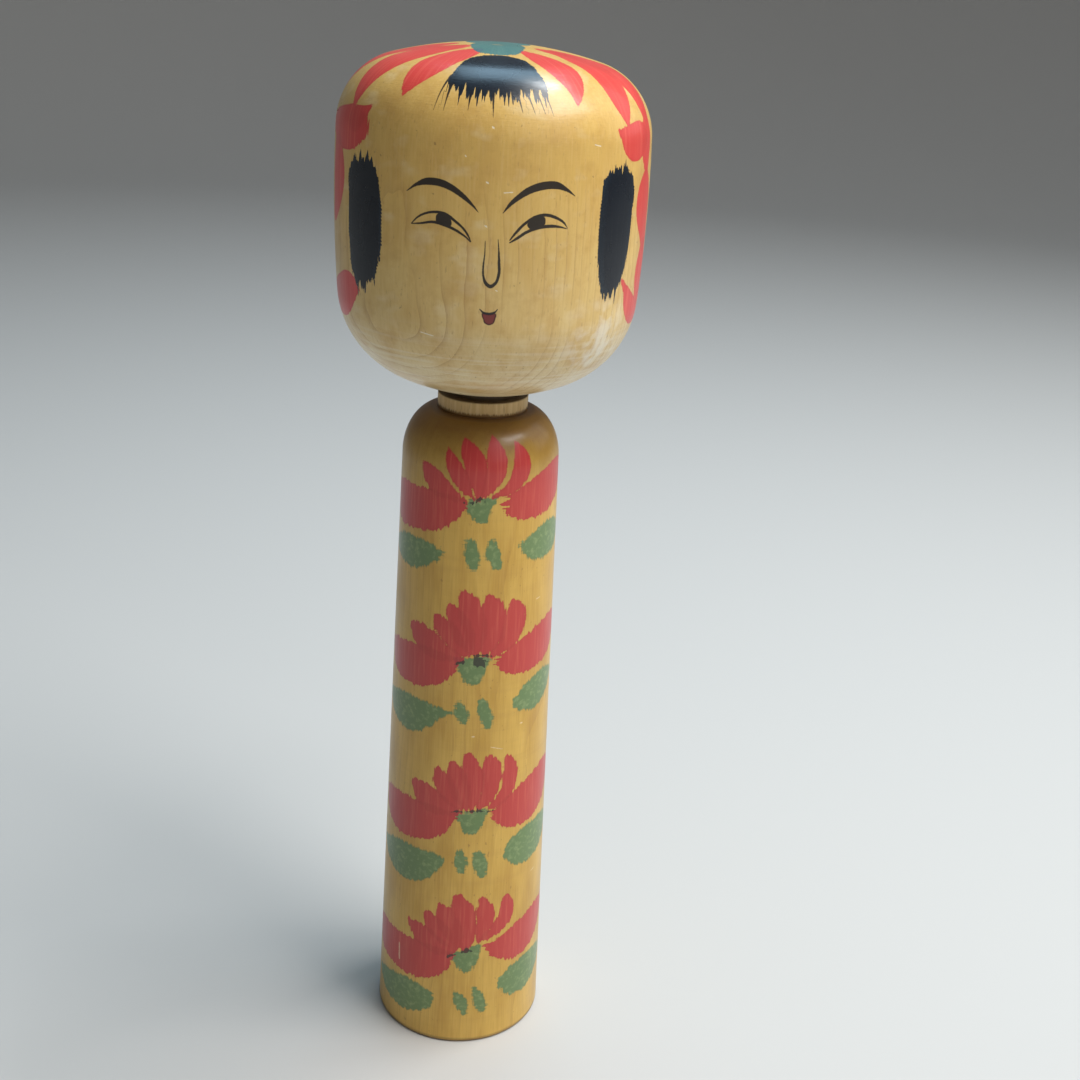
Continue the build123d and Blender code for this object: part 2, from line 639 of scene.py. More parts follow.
    def surface(self, colour: Value, roughness: Value, relief: Value) -> None:
        """Finishes the material.

        Args:
            colour: Base colour.
            roughness: Roughness.
            relief: Height of the surface, in mm.
        """
        bump = self.node("ShaderNodeBump", {}, {"Strength": self.RELIEF, "Distance": MM, "Height": relief})
        shader = self.node("ShaderNodeBsdfPrincipled", {}, {
            "Base Color": colour, "Roughness": roughness, "Normal": bump, **self.WAX})
        self.node("ShaderNodeOutputMaterial", {}, {"Surface": shader})


@dataclass(frozen=True)
class WoodGrain:
    """How the growth rings of the block show on the turned surface.

    Attributes:
        pith_turn: The side of the doll that faces the middle of the tree, in degrees.
        pith_gap: How far the middle of the tree is from the lathe's axis, in mm.
        lean: Tilt of the tree's middle against the lathe's axis, in degrees.
        spacing: Width of a year's ring, in mm.
        shift: Moves the rings, as a share of their spacing.
        wander: How far the rings wander, in mm.
        height: Height at which the gap and the turn hold, in mm.
    """

    pith_turn: float
    pith_gap: float
    lean: float
    spacing: float
    shift: float
    wander: float
    height: float = 264.5

    def age(self, bench: Bench) -> Value:
        """Counts the years from the middle of the tree.

        Args:
            bench: The material.

        Returns:
            The years, as a number that grows outwards.
        """
        side, tilt = math.radians(self.pith_turn), math.radians(self.lean)
        towards = Vector((math.sin(side), -math.cos(side), 0))
        pith = towards * self.pith_gap + Vector((0, 0, self.height))
        stem = (-towards * math.sin(tilt) + Vector((0, 0, math.cos(tilt)))).normalized()
        out = bench.vector("SUBTRACT", bench.place, pith)
        gap = bench.vector("LENGTH", bench.vector("CROSS_PRODUCT", out, stem), output="Value")
        drift = bench.stretched(13, 24, 3.0) - 0.5
        return (gap + drift * self.wander) * (1 / self.spacing) + self.shift


@dataclass(frozen=True)
class Dye:
    """Water dye brushed on bare wood.

    Attributes:
        full: Colour where it is even.
        deep: Colour where it pools at an edge or lies twice.
        thin: Colour where the brush ran dry.
    """

    full: Colour
    deep: Colour
    thin: Colour

    def laid(self, bench: Bench, wood: Value, layer: str, ragged: Value, fingers: Value,
             combed: Value, soft: float = 0.12) -> tuple[Value, Value]:
        """Brushes the dye over the wood.

        Args:
            bench: The material.
            wood: Colour underneath.
            layer: Name of the stored marks.
            ragged: Fine unevenness of the edges, in mm.
            fingers: Noise about 0.5 that splits the dry ends of a stroke.
            combed: Noise about 0.5 in the direction of the bristles.
            soft: Half the width of the edge, in mm.

        Returns:
            The colour with the dye on it, and where the dye is.
        """
        depth = bench.stored(layer) + ragged + (fingers - 0.5) * bench.stored(layer + "_fray") * 4.5
        cover = depth.ramp(-soft, soft)
        pooled = (1 - depth.ramp(0.1, 0.6)) * 0.28
        doubled = (bench.stored(layer + "_twice") + ragged).ramp(-0.3, 0.5) * 0.22
        tone = bench.blend(combed.ramp(0.50, 0.70) * 0.40, self.full, self.thin)
        tone = bench.blend(pooled + doubled, tone, self.deep)
        grainy = bench.blend(0.22, tone, wood, "SOFT_LIGHT")
        return bench.blend(cover * 0.96, wood, grainy), cover


class Ink(Enum):
    """Painted colours that cover the wood."""

    # black hair ink, tinted blue as a painted reflection of the sky; the thin ink likewise
    HAIR_WITH_SKY_SHEEN = (0.005, 0.008, 0.014)
    HAIR_THIN_WITH_SKY_SHEEN = (0.025, 0.042, 0.060)
    LINE = (0.012, 0.011, 0.013)
    LIP = (0.20, 0.035, 0.030)
    LIP_EDGE = (0.05, 0.012, 0.010)
    ACCENT = (0.035, 0.03, 0.022)


class Tone(Enum):
    """Colours of the two blocks of wood, of what tools and time have left on them, and of shade painted on
    them.
    """

    HONEY_MOTTLE = (0.58, 0.34, 0.09)
    HONEY_PALE = (0.80, 0.66, 0.40)
    HONEY_RING = (0.40, 0.20, 0.06)
    HONEY_FIBRE = (0.50, 0.28, 0.08)
    HONEY_GLEAM = (0.86, 0.68, 0.38)
    HONEY_AGED = (0.50, 0.27, 0.07)
    HONEY_FLECK = (0.36, 0.19, 0.07)
    HONEY_SPECK = (0.25, 0.13, 0.05)
    HONEY_TORN = (0.46, 0.27, 0.08)
    HONEY_NICK = (0.90, 0.84, 0.66)
    HONEY_PALER_JAW = (0.86, 0.80, 0.64)
    PALE_PATCH = (0.84, 0.81, 0.72)
    KNOT = (0.32, 0.18, 0.08)
    # painted shade of the gap between the head and the collar
    SEAT_GAP_SHADE = (0.045, 0.025, 0.012)

    OCHRE = (0.68, 0.425, 0.088)
    OCHRE_MOTTLE = (0.56, 0.325, 0.055)
    OCHRE_RING = (0.38, 0.19, 0.035)
    OCHRE_FIBRE = (0.36, 0.19, 0.04)
    OCHRE_GLEAM = (0.80, 0.56, 0.18)
    OCHRE_SPECK = (0.26, 0.12, 0.03)
    OCHRE_BAND = (0.50, 0.28, 0.06)
    OCHRE_NICK = (0.86, 0.74, 0.50)
    # a deeper stain on the shoulder, darkened further as the painted shadow of the head
    SHOULDER_STAIN_AND_HEAD_SHADOW = (0.15, 0.064, 0.009)
    # painted shade for the foot's bottom edge
    FOOT_EDGE_SHADE = (0.16, 0.09, 0.03)
    BARE = (0.66, 0.47, 0.22)
    BARE_STREAK = (0.55, 0.36, 0.14)
    BARE_TICK = (0.30, 0.17, 0.06)
    # stain pooled at the collar's foot, darkened further as painted shade of the crease
    COLLAR_FOOT_STAIN_AND_SHADE = (0.13, 0.065, 0.02)
    # painted shade on the collar's top, in the gap under the head
    COLLAR_TOP_SHADE = (0.05, 0.028, 0.014)


def ink_line(bench: Bench, layer: str, uneven: Value) -> Value:
    """Where the fine lines of a layer are."""
    off = abs(bench.stored(layer + "_off"))
    return (bench.stored(layer + "_width") + uneven - off).ramp(-0.07, 0.07)


@dataclass(frozen=True)
class HeadFinish:
    """Bare dogwood aged to honey, painted with hair and a face, and waxed.

    Attributes:
        seat_level: Level of the root of the seat ring; painted shade of the gap over the collar darkens the
            wood round it.
        pale_patch: Middle of the paler patch on the right jaw, in mm.
        knot: Middle of the pin knot, in mm.
        grain: The block's rings.
        red: Dye of the crown ornament.
        teal: Dye of the crown's middle.
    """

    seat_level: float = 144.0
    pale_patch: tuple[float, float, float] = (25.0, -23.5, 231.5)
    knot: tuple[float, float, float] = (-17.5, -29.5, 230.5)
    grain: WoodGrain = WoodGrain(pith_turn=142, pith_gap=300, lean=2.9, spacing=2.35, shift=0.58,
                                 wander=2.6)
    red: Dye = Dye((0.64, 0.048, 0.056), (0.40, 0.018, 0.026), (0.80, 0.17, 0.14))
    teal: Dye = Dye((0.045, 0.18, 0.20), (0.02, 0.08, 0.11), (0.16, 0.34, 0.32))

    # from the crown at 0 to a level of 200 mm at 1
    TONES = ((0.0, (0.66, 0.415, 0.12)), (0.29, (0.69, 0.44, 0.122)), (0.41, (0.71, 0.485, 0.165)),
             (0.49, (0.72, 0.52, 0.21)), (0.57, (0.73, 0.585, 0.33)), (0.72, (0.68, 0.52, 0.28)))

    def wood(self, bench: Bench, level: Value) -> tuple[Value, Value, Value]:
        """The bare wood.

        Args:
            bench: The material.
            level: Level down from the crown, in mm.

        Returns:
            Its colour, its rings as 0 to 1, and its fibre as noise about 0.5.
        """
        wander = (bench.noise(bench.place, 16.0) - 0.5) * 18
        down = (level + wander) * 0.005
        wood = bench.node("ShaderNodeValToRGB", {"stops": self.TONES}, {0: down}, "Color")
        mottle = bench.stretched(7, 15, 9.0, 3.0)
        wood = bench.blend(mottle.ramp(0.42, 0.72) * 0.5, wood, Tone.HONEY_MOTTLE)
        wood = bench.blend(bench.stretched(9, 5, 31.0).ramp(0.56, 0.72) * 0.35, wood, Tone.HONEY_PALE)

        year = self.grain.age(bench).maths("FRACT")
        late = year ** 9 * 0.8 + year * 0.12
        shown = bench.stretched(14, 30, 5.0).ramp(0.36, 0.56)
        rings = late * shown * (level.ramp(56, 78) * 0.85 + 0.15)
        wood = bench.blend(rings * 0.62, wood, Tone.HONEY_RING)

        fibre = bench.stretched(0.55, 9.0, 1.0, 3.0)
        wood = bench.blend(fibre.ramp(0.50, 0.80) * 0.22, wood, Tone.HONEY_FIBRE)
        wood = bench.blend(fibre.ramp(0.50, 0.22) * 0.14, wood, Tone.HONEY_GLEAM)
        aged = bench.noise(bench.place, 5.5, 5.0, 0.6)
        wood = bench.blend(aged.ramp(0.50, 0.72) * 0.42, wood, Tone.HONEY_AGED)
        fleck = bench.stretched(0.45, 2.2, 17.0, 1.0)
        wood = bench.blend(fleck.ramp(0.66, 0.76) * 0.35, wood, Tone.HONEY_FLECK)
        speck = bench.noise(bench.place, 1.5, 1.0)
        wood = bench.blend(speck.ramp(0.75, 0.80) * 0.55, wood, Tone.HONEY_SPECK)
        return wood, rings, fibre

    def used(self, bench: Bench, wood: Value, level: Value) -> Value:
        """Marks the wood with a paler patch on the jaw, a knot, paler streaks low on the head, and painted
        shade round the seat ring.

        Args:
            bench: The material.
            wood: Colour of the wood.
            level: Level down from the crown, in mm.

        Returns:
            The colour with the marks on it.
        """
        # a paler patch on the right jaw, and paler streaks low on the head
        pale_patch = bench.spot(self.pale_patch, 15.0, 0.9) * bench.noise(bench.place, 4.0, 4.0).ramp(0.42, 0.62)
        wood = bench.blend(pale_patch * 0.85, wood, Tone.PALE_PATCH)
        knot = bench.spot(self.knot, 3.2, 0.9) * bench.noise(bench.place, 1.1, 3.0).ramp(0.46, 0.6)
        wood = bench.blend(knot * 0.7, wood, Tone.KNOT)
        paler_jaw_streaks = level.ramp(96, 112) * bench.streaks(level, 25, 1.1, 3.0).ramp(0.48, 0.64)
        wood = bench.blend(paler_jaw_streaks * 0.30, wood, Tone.HONEY_PALER_JAW)

        # painted shade of the gap between the head's underside and the collar, darkening the wood round the
        # seat ring
        seat_gap_shade = level.ramp(self.seat_level - 3.2, self.seat_level - 2.2)
        return bench.blend(seat_gap_shade * 0.9, wood, Tone.SEAT_GAP_SHADE)

    def inked(self, bench: Bench, colour: Value, hairs: Value, lathe: Value) -> tuple[Value, Value, Value]:
        """Paints the hair and the face.

        Args:
            bench: The material.
            colour: Colour underneath.
            hairs: Noise about 0.5 that splits the ends of the hair.
            lathe: Noise about 0.5 of the turned surface.

        Returns:
            The colour with the ink on it, where the hair is, and where the lines are.
        """
        frayed = (hairs - 0.5) * 5.5 * bench.stored("hair_fray")
        depth = bench.stored("hair") + frayed + (lathe - 0.5) * 0.3
        hair = depth.ramp(-0.12, 0.14)
        # thin hair strands and edges: thin ink, tinted blue as a painted reflection of the sky
        thin = (1 - depth.ramp(0.0, 2.6)) * hairs.ramp(0.42, 0.62) * 0.6
        colour = bench.blend(hair, colour, bench.blend(thin, Ink.HAIR_WITH_SKY_SHEEN, Ink.HAIR_THIN_WITH_SKY_SHEEN))

        lip_depth = bench.stored("lip")
        lip = bench.blend(lip_depth.ramp(0.15, 0.5), Ink.LIP_EDGE, Ink.LIP)
        colour = bench.blend(lip_depth.ramp(-0.1, 0.1), colour, lip)

        uneven = (bench.noise(bench.place, 0.5) - 0.5) * 0.14
        iris = (bench.stored("iris") + uneven).ramp(-0.08, 0.08)
        ink = iris.most(ink_line(bench, "upper", uneven), ink_line(bench, "lower", uneven))
        return bench.blend(ink * 0.97, colour, Ink.LINE), hair, ink

    def material(self) -> bpy.types.Material:
        """Builds the material.

        Returns:
            The finished material.
        """
        bench = Bench("waxed_head_wood")
        level = bench.stored("level")
        wood, rings, fibre = self.wood(bench, level)
        wood = self.used(bench, wood, level)
        lathe = bench.streaks(level, 22, 0.45, 1.0)
        torn = bench.streaks(level, 1.8, 0.36, 27.0, 3.0)
        crowning = level.ramp(62, 40)
        wood = bench.blend(torn.ramp(0.54, 0.72) * crowning * 0.30, wood, Tone.HONEY_TORN)
        hairs = bench.streaks(level, 0.85, 40, 7.0, 3.0)
        ragged = (lathe - 0.5) * 0.5
        combed = bench.streaks(level, 0.9, 40, 2.0)
        colour, red = self.red.laid(bench, wood, "red", ragged, combed, combed)
        colour, _ = self.teal.laid(bench, colour, "teal", ragged, hairs, hairs)
        colour, hair, ink = self.inked(bench, colour, hairs, lathe)
        nick = ink_line(bench, "nick", (bench.noise(bench.place, 0.8) - 0.5) * 0.3)
        colour = bench.blend(nick * 0.75, colour, Tone.HONEY_NICK)

        smear = bench.noise(bench.place, 9.0, 4.0)
        roughness = smear * 0.20 + 0.22 + rings * 0.10 - hair * 0.04 + nick * 0.3
        relief = lathe * 0.030 + rings * -0.02 + fibre * 0.012 + (red + hair + ink) * 0.006 \
            - nick * 0.05 + bench.noise(bench.place, 6.0) * 0.05 + torn * (crowning * 0.055 + 0.012)
        bench.surface(colour, roughness, relief)
        return bench.material


@dataclass(frozen=True)
class BodyFinish:
    """Dogwood stained yellow-ochre, painted with flowers and waxed; bare where it was parted off.

    Attributes:
        collar_foot: Height of the collar's foot, in mm.
        collar_radius: Radius of the collar, in mm.
        grain: The block's rings.
        red: Dye of the petals.
        green: Dye of the leaves.
    """

    collar_foot: float
    collar_radius: float
    grain: WoodGrain = WoodGrain(pith_turn=-120, pith_gap=120, lean=1.2, spacing=2.9, shift=0.2,
                                 wander=3.4)
    red: Dye = Dye((0.50, 0.040, 0.050), (0.30, 0.014, 0.024), (0.66, 0.14, 0.11))
    green: Dye = Dye((0.125, 0.235, 0.105), (0.05, 0.13, 0.05), (0.36, 0.48, 0.24))

    def wood(self, bench: Bench) -> tuple[Value, Value, Value]:
        """The stained wood.

        Args:
            bench: The material.

        Returns:
            Its colour, its rings as 0 to 1, and its fibre as noise about 0.5.
        """
        mottle = bench.stretched(8, 26, 4.0, 3.0)
        wood = bench.blend(mottle.ramp(0.36, 0.66), Tone.OCHRE, Tone.OCHRE_MOTTLE)
        year = self.grain.age(bench).maths("FRACT")
        rings = (year ** 5 * 0.6 + year * 0.2) * bench.stretched(10, 60, 8.0).ramp(0.36, 0.6)
        wood = bench.blend(rings * 0.42, wood, Tone.OCHRE_RING)
        fibre = bench.stretched(0.5, 11.0, 2.0, 3.0)
        wood = bench.blend(fibre.ramp(0.50, 0.80) * 0.26, wood, Tone.OCHRE_FIBRE)
        wood = bench.blend(fibre.ramp(0.50, 0.24) * 0.18, wood, Tone.OCHRE_GLEAM)
        speck = bench.stretched(0.9, 1.6, 23.0, 1.0)
        wood = bench.blend(speck.ramp(0.72, 0.80) * 0.45, wood, Tone.OCHRE_SPECK)
        return wood, rings, fibre

    def parted(self, bench: Bench, colour: Value, soaked: Value) -> tuple[Value, Value, Value]:
        """Leaves the wood bare on the collar, in the bore and under the foot, and paints shade on the
        collar's top in the gap under the head.

        Args:
            bench: The material.
            colour: Colour of the stained and painted wood.
            soaked: Noise about 0.5 that makes the edge of the stain ragged.

        Returns:
            The colour with the bare wood, where it is bare, and where the dark line at the collar's foot
            is, partly stain pooled in the corner and partly painted shade of that crease.
        """
        height, radius = bench.height, bench.vector("LENGTH", bench.flat, output="Value")
        streak = bench.stretched(1.2, 30, 6.0).ramp(0.35, 0.65)
        ticks = bench.stretched(0.35, 5.0, 12.0, 1.0).ramp(0.62, 0.72)
        bare = bench.blend(ticks * 0.6, bench.blend(streak, Tone.BARE, Tone.BARE_STREAK), Tone.BARE_TICK)
        collar = (height + (soaked - 0.5) * 1.8).ramp(self.collar_foot + 0.7, self.collar_foot + 1.3)
        inside = radius.ramp(self.collar_radius - 0.1, self.collar_radius - 0.3) * height.ramp(2, 3)
        foot = height.ramp(0.12, 0.02).most(radius.ramp(24.5, 24.0) * height.ramp(3, 2))
        bared = collar.most(inside, foot)
        colour = bench.blend(bared, colour, bare)
        # dark line at the collar's foot: stain pooled in the inner corner, and painted shade of the crease
        collar_foot_stain_and_shade = (0.55 - abs(height - self.collar_foot)).ramp(0.0, 0.35) * (1 - inside)
        colour = bench.blend(collar_foot_stain_and_shade * 0.8, colour, Tone.COLLAR_FOOT_STAIN_AND_SHADE)
        # painted shade on the collar's top and the bore's mouth, in the gap under the head
        return bench.blend(height.ramp(208.45, 208.85) * 0.9, colour, Tone.COLLAR_TOP_SHADE), bared, collar_foot_stain_and_shade

    def material(self) -> bpy.types.Material:
        """Builds the material.

        Returns:
            The finished material.
        """
        bench = Bench("stained_body_wood")
        height = bench.height
        wood, rings, fibre = self.wood(bench)
        lathe = bench.streaks(height, 14, 0.42, 1.0, 3.0)
        band = bench.streaks(height, 60, 2.6, 9.0)
        wood = bench.blend(band.ramp(0.5, 0.75) * 0.25, wood, Tone.OCHRE_BAND)
        # darker shoulder: partly a deeper stain, partly the painted shadow that the head casts on it
        shoulder_stain_and_head_shadow = (height + (bench.noise(bench.place, 5.0) - 0.5) * 6).ramp(183, 203) * 0.85
        wood = bench.blend(shoulder_stain_and_head_shadow, wood, Tone.SHOULDER_STAIN_AND_HEAD_SHADOW)
        # painted shade along the foot's rounded bottom edge, where it meets the floor
        foot_edge_shade = (1.2 - height + (lathe - 0.5) * 0.8).ramp(-0.6, 0.5)
        wood = bench.blend(foot_edge_shade * 0.75, wood, Tone.FOOT_EDGE_SHADE)

        fingers = bench.streaks(height, 14, 0.9, 5.0, 3.0)
        soaked = bench.streaks(height, 1.5, 5.0, 11.0, 3.0)
        combed = bench.streaks(height, 1.3, 14.0, 15.0, 4.0)
        ragged = (soaked - 0.5) * (3.0 - height.ramp(183, 189) * 1.9) + (lathe - 0.5) * 0.5
        dabbed = bench.streaks(height, 2.4, 1.3, 19.0, 4.0)
        colour, green = self.green.laid(bench, wood, "green", ragged, fingers, dabbed, 0.3)
        colour, red = self.red.laid(bench, colour, "red", ragged, fingers, combed, 0.16)
        ink = ink_line(bench, "accent", (soaked - 0.5) * 2.6)
        colour = bench.blend(ink * 0.88, colour, Ink.ACCENT)
        nick = ink_line(bench, "nick", (bench.noise(bench.place, 0.8) - 0.5) * 0.4)
        colour = bench.blend(nick * 0.6, colour, Tone.OCHRE_NICK)

        colour, bared, collar_foot_stain_and_shade = self.parted(bench, colour, soaked)
        smear = bench.noise(bench.place, 10.0, 4.0)
        roughness = smear * 0.20 + 0.24 + bared * 0.30 + nick * 0.3
        relief = lathe * 0.035 + rings * -0.015 + fibre * 0.015 + (red + green) * 0.005 \
            - nick * 0.05 - collar_foot_stain_and_shade * 0.15 + bench.noise(bench.place, 7.0) * 0.05
        bench.surface(colour, roughness, relief)
        return bench.material


def finished(piece: bpy.types.Object, node: str, material: bpy.types.Material) -> None:
    """Dresses a piece and joins it to its part of the doll.

    Args:
        piece: The piece.
        node: The part that it rides on and stands for.
        material: Its finish.
    """
    piece.data.materials.append(material)
    piece.data.polygons.foreach_set("use_smooth", np.ones(len(piece.data.polygons), dtype=bool))
    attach(piece, node)
    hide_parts(node)
    log.info("%s: %d points, %d faces", piece.name, len(piece.data.vertices), len(piece.data.polygons))


def as_object(shape: bmesh.types.BMesh, name: str) -> bpy.types.Object:
    """Makes an object of a finished shape.

    Args:
        shape: The shape, in mm. It is used up.
        name: The object's name.

    Returns:
        The object, in metres.
    """
    bmesh.ops.scale(shape, vec=(MM, MM, MM), verts=shape.verts)
    mesh = bpy.data.meshes.new(name)
    shape.to_mesh(mesh)
    shape.free()
    piece = bpy.data.objects.new(name, mesh)
    bpy.context.collection.objects.link(piece)
    return piece


def along(start: Spot, towards: Spot, distance: float) -> Spot:
    """The point at a distance from start, in the direction of another point."""
    span = math.dist(start, towards)
    return tuple(s + (t - s) * distance / span for s, t in zip(start, towards))


def corner_centre(dome: Spot, dome_radius: float, side: Spot, side_radius: float,
                  radius: float) -> Spot:
    """Centre of the corner arc that touches a dome and a side arc from inside.

    Args:
        dome: Centre of the dome's arc.
        dome_radius: Its radius.
        side: Centre of the side's arc.
        side_radius: Its radius.
        radius: Radius of the corner.

    Returns:
        The radius and height of the corner's centre.
    """
    from_dome, from_side, span = dome_radius - radius, side_radius - radius, math.dist(dome, side)
    reach = (from_dome**2 - from_side**2 + span**2) / (2 * span)
    offset = math.sqrt(from_dome**2 - reach**2)
    foot = along(dome, side, reach)
    step = ((side[1] - dome[1]) / span * offset, (side[0] - dome[0]) / span * offset)
    return max((foot[0] + step[0], foot[1] - step[1]), (foot[0] - step[0], foot[1] + step[1]))


@dataclass
class Head:
    """The barrel-shaped head with its seat ring and tenon, in mm."""

    crown: float = 303.0
    chin: float = 209.6
    seat: float = 208.9
    girth: float = 42.35
    girth_height: float = 264.5
    side_arc: float = 389.0
    crown_arc: float = 103.2
    crown_middle: float = 14.0     # has no fine painting, so its mesh is coarser
    crown_corner: float = 19.5
    chin_arc: float = 62.9
    jaw_corner: float = 26.5
    seat_radius: float = 10.0
    tenon_radius: float = 8.0
    tenon_foot: float = 183.9
    tenon_chamfer: float = 1.5
    finish: HeadFinish = HeadFinish()

    def turned(self) -> tuple[bpy.types.Object, TurnedForm]:
        """Turns the block: crown, side and chin, then the seat ring and tenon.

        Returns:
            The piece, and its mesh with its painted side known.
        """
        side = (self.girth - self.side_arc, self.girth_height)
        crown, chin = (0.0, self.crown - self.crown_arc), (0.0, self.chin + self.chin_arc)
        corner = corner_centre(crown, self.crown_arc, side, self.side_arc, self.crown_corner)
        jaw = corner_centre(chin, self.chin_arc, side, self.side_arc, self.jaw_corner)
        bend = math.asin(self.crown_middle / self.crown_arc)
        outline = Outline(0.0, self.crown)
        outline.arc(crown, (self.crown_middle, crown[1] + self.crown_arc * math.cos(bend)), 0.9)
        outline.arc(crown, along(crown, corner, self.crown_arc), 0.6)
        outline.arc(corner, along(side, corner, self.side_arc), 0.52)
        outline.arc(side, along(side, jaw, self.side_arc), 0.44)
        outline.arc(jaw, along(chin, jaw, self.chin_arc), 0.62)
        seat_root = chin[1] - math.sqrt(self.chin_arc**2 - self.seat_radius**2)
        outline.arc(chin, (self.seat_radius, seat_root), 0.9)
        outline.run((self.seat_radius, self.seat))
        outline.run((self.tenon_radius, self.seat))
        outline.run((self.tenon_radius, self.tenon_foot + self.tenon_chamfer), 5.0)
        outline.run((self.tenon_radius - self.tenon_chamfer, self.tenon_foot))
        outline.run((0.0, self.tenon_foot), 3.0)
        shape, rail = outline.spun(((80, 32), (34, 26), (34, 40), (64, 98), (34, 40), (34, 26), (80, 32)))
        piece = as_object(shape, "head_turned")
        piece.data.set_sharp_from_angle(angle=CREASE)
        return piece, TurnedForm(piece.data, rail[rail[:, 2] > self.seat + 0.1])

    FRINGE = Patch(((-15.5, 25.5), (-9, 22.6), (0, 21.9), (9, 22.6), (15.5, 25.5), (18, 32), (19.3, 39),
                    (10, 40.6),
                    (0, 41), (-10, 40.6), (-18.8, 39), (-18, 32)), frays=(0.5, 3.2))
    TONGUE = Patch(((-42, 9.5), (-25, 15.5), (-12, 20.6), (0, 21.3), (12, 20.6), (24, 15.5), (42, 9.5),
                    (0, 9)),
                   frays=(0.2, 0.8))
    LOCKS = (
        Patch(((40.2, 66), (40, 73), (41.2, 82), (44, 88), (50, 91), (54.5, 88), (58, 80), (59, 71),
               (58.7, 61.5),
               (54, 58), (46, 58), (41.4, 61)), frays=(1.7, 2.6)),
        Patch(((-41.2, 66), (-40.3, 73), (-41, 82), (-44, 88.5), (-51, 92), (-56.5, 89), (-59, 80),
               (-59.5, 70),
               (-58.5, 61), (-52, 58.5), (-46, 58.5), (-42.5, 61.5)), frays=(1.7, 2.6)),
    )
    FRONT_PETALS = (
        BrushStroke(((-17, 17.5, 1.6), (-22, 21, 3.3), (-27, 26.5, 4.5), (-31, 32, 4.5), (-34, 37, 3),
                     (-35.5, 42.3, 0.4)), dry=(0.4, 0.2)),
        BrushStroke(((-38, 14.5, 2), (-48, 19.5, 4.2), (-54, 27, 5.6), (-58.5, 34.5, 4.8), (-60, 41, 3),
                     (-59.5, 47.3, 0.4)), dry=(0.4, 0.2)),
        BrushStroke(((-66, 13, 1.8), (-74, 20, 4), (-80, 28, 4.4), (-84, 35, 3.8), (-86, 43, 1.2)),
                    dry=(0.4, 0.2)),
        BrushStroke(((22, 17.3, 1.3), (26.5, 21.3, 2.9), (29.8, 26.5, 4.2), (31.6, 31, 4.4),
                     (32.3, 36.5, 2.9),
                     (31, 42.3, 0.4)), dry=(0.4, 0.2)),
        BrushStroke(((50, 14, 1.4), (58, 20, 3.6), (58, 26.5, 5.4), (56, 34, 5.3), (54.3, 41, 3.9),
                     (54.3, 48, 0.4)), dry=(0.4, 0.2)),
        BrushStroke(((62, 17, 2.4), (66, 23.5, 4.6), (70, 31, 5.6), (72, 38, 4.6), (71.5, 45, 2.6),
                     (71, 49, 0.8)),
                    dry=(0.4, 0.2)),
    )
    BACK_PETAL_TURNS = (104, 128, 152, 177, -105, -130, -154)
    BACK_PETAL = ((14.5, 1.8), (21, 3.7), (28, 4.5), (35, 3.8), (43, 1.0))    # level, half width
    DISC = 8.5                     # radius of the teal disc on the crown
    SIDE_ORNAMENTS = (
        BrushStroke(((48.5, 49, 0.5), (53, 50.8, 2.7), (58, 52, 4.7), (63, 51.5, 4.6), (67, 51, 3)),
                    dry=(0.8, 0.4)),
        BrushStroke(((72, 46, 2), (70, 53, 4), (71, 59, 2)), dry=(0, 0.6)),
        BrushStroke(((71, 61.5, 2.6), (71, 67.5, 6.3), (73.5, 74, 4.5), (76, 78, 3.6))),
        BrushStroke(((75.5, 81.5, 4), (75.5, 86, 5.5), (77, 92, 4.5))),
        BrushStroke(((55.5, 86.6, 0.3), (60, 89.8, 1.3), (65, 94.3, 3.2), (70, 96.8, 3.5),
                     (76, 97.5, 3.4)), dry=(0.5, 0)),
        BrushStroke(((-48.5, 46, 0.3), (-52, 48.2, 1.8), (-57, 50, 3.4))),
        BrushStroke(((-52.5, 51.5, 3.6), (-58, 52, 5.3), (-65, 52.5, 5.5), (-72, 52.5, 4.5),
                     (-78, 52, 3)), dry=(1.0, 0.4)),
        BrushStroke(((-72, 58, 4), (-71, 65, 5.5), (-73, 71, 4), (-76, 75, 2.5))),
        BrushStroke(((-54.5, 92.5, 1.0), (-60, 92.8, 4.0), (-67, 95.5, 5.6), (-75, 97.3, 5),
                     (-83, 98, 3.3)), dry=(0.8, 0)),
    )
    UPPER_LINES = (
        # brows
        ((-29.6, 65.1, 0.08), (-25.8, 63.2, 0.42), (-22.8, 62.35, 0.8), (-17.8, 62.2, 0.9),
         (-12.6, 63.5, 0.75),
         (-9.4, 65, 0.6), (-6, 67.1, 0.28), (-4, 68.7, 0.06)),
        ((3.9, 68.5, 0.08), (6.6, 66, 0.48), (8.8, 64.6, 0.65), (12, 63, 0.85), (17.2, 61.7, 0.97),
         (22, 61.6, 0.88),
         (25.6, 62.6, 0.45), (29.2, 64.3, 0.06)),
        # upper lids
        ((-27.5, 72.8, 0.12), (-25, 71, 0.24), (-20.4, 69.5, 0.30), (-15.2, 69.6, 0.38),
         (-12, 71, 0.35),
         (-9, 72.7, 0.28), (-7, 74.7, 0.22), (-6.2, 76, 0.1)),
        ((6.6, 75, 0.15), (8.3, 73.3, 0.3), (11.8, 70.6, 0.35), (14.8, 69.2, 0.38), (18.6, 68.7, 0.4),
         (22.7, 69.5, 0.36), (25.4, 70.7, 0.25), (26.8, 72, 0.08)),
        # nose
        ((-1.5, 75.4, 0.08), (-1.5, 78.6, 0.15), (-1.83, 81.6, 0.22), (-1.64, 84.2, 0.28),
         (-0.56, 86, 0.44),
         (0.8, 86.6, 0.46), (2.4, 85.8, 0.38), (3.5, 83.4, 0.36), (3.4, 80.6, 0.34), (3.1, 77.4, 0.18),
         (2.7, 74.7, 0.08)),
    )
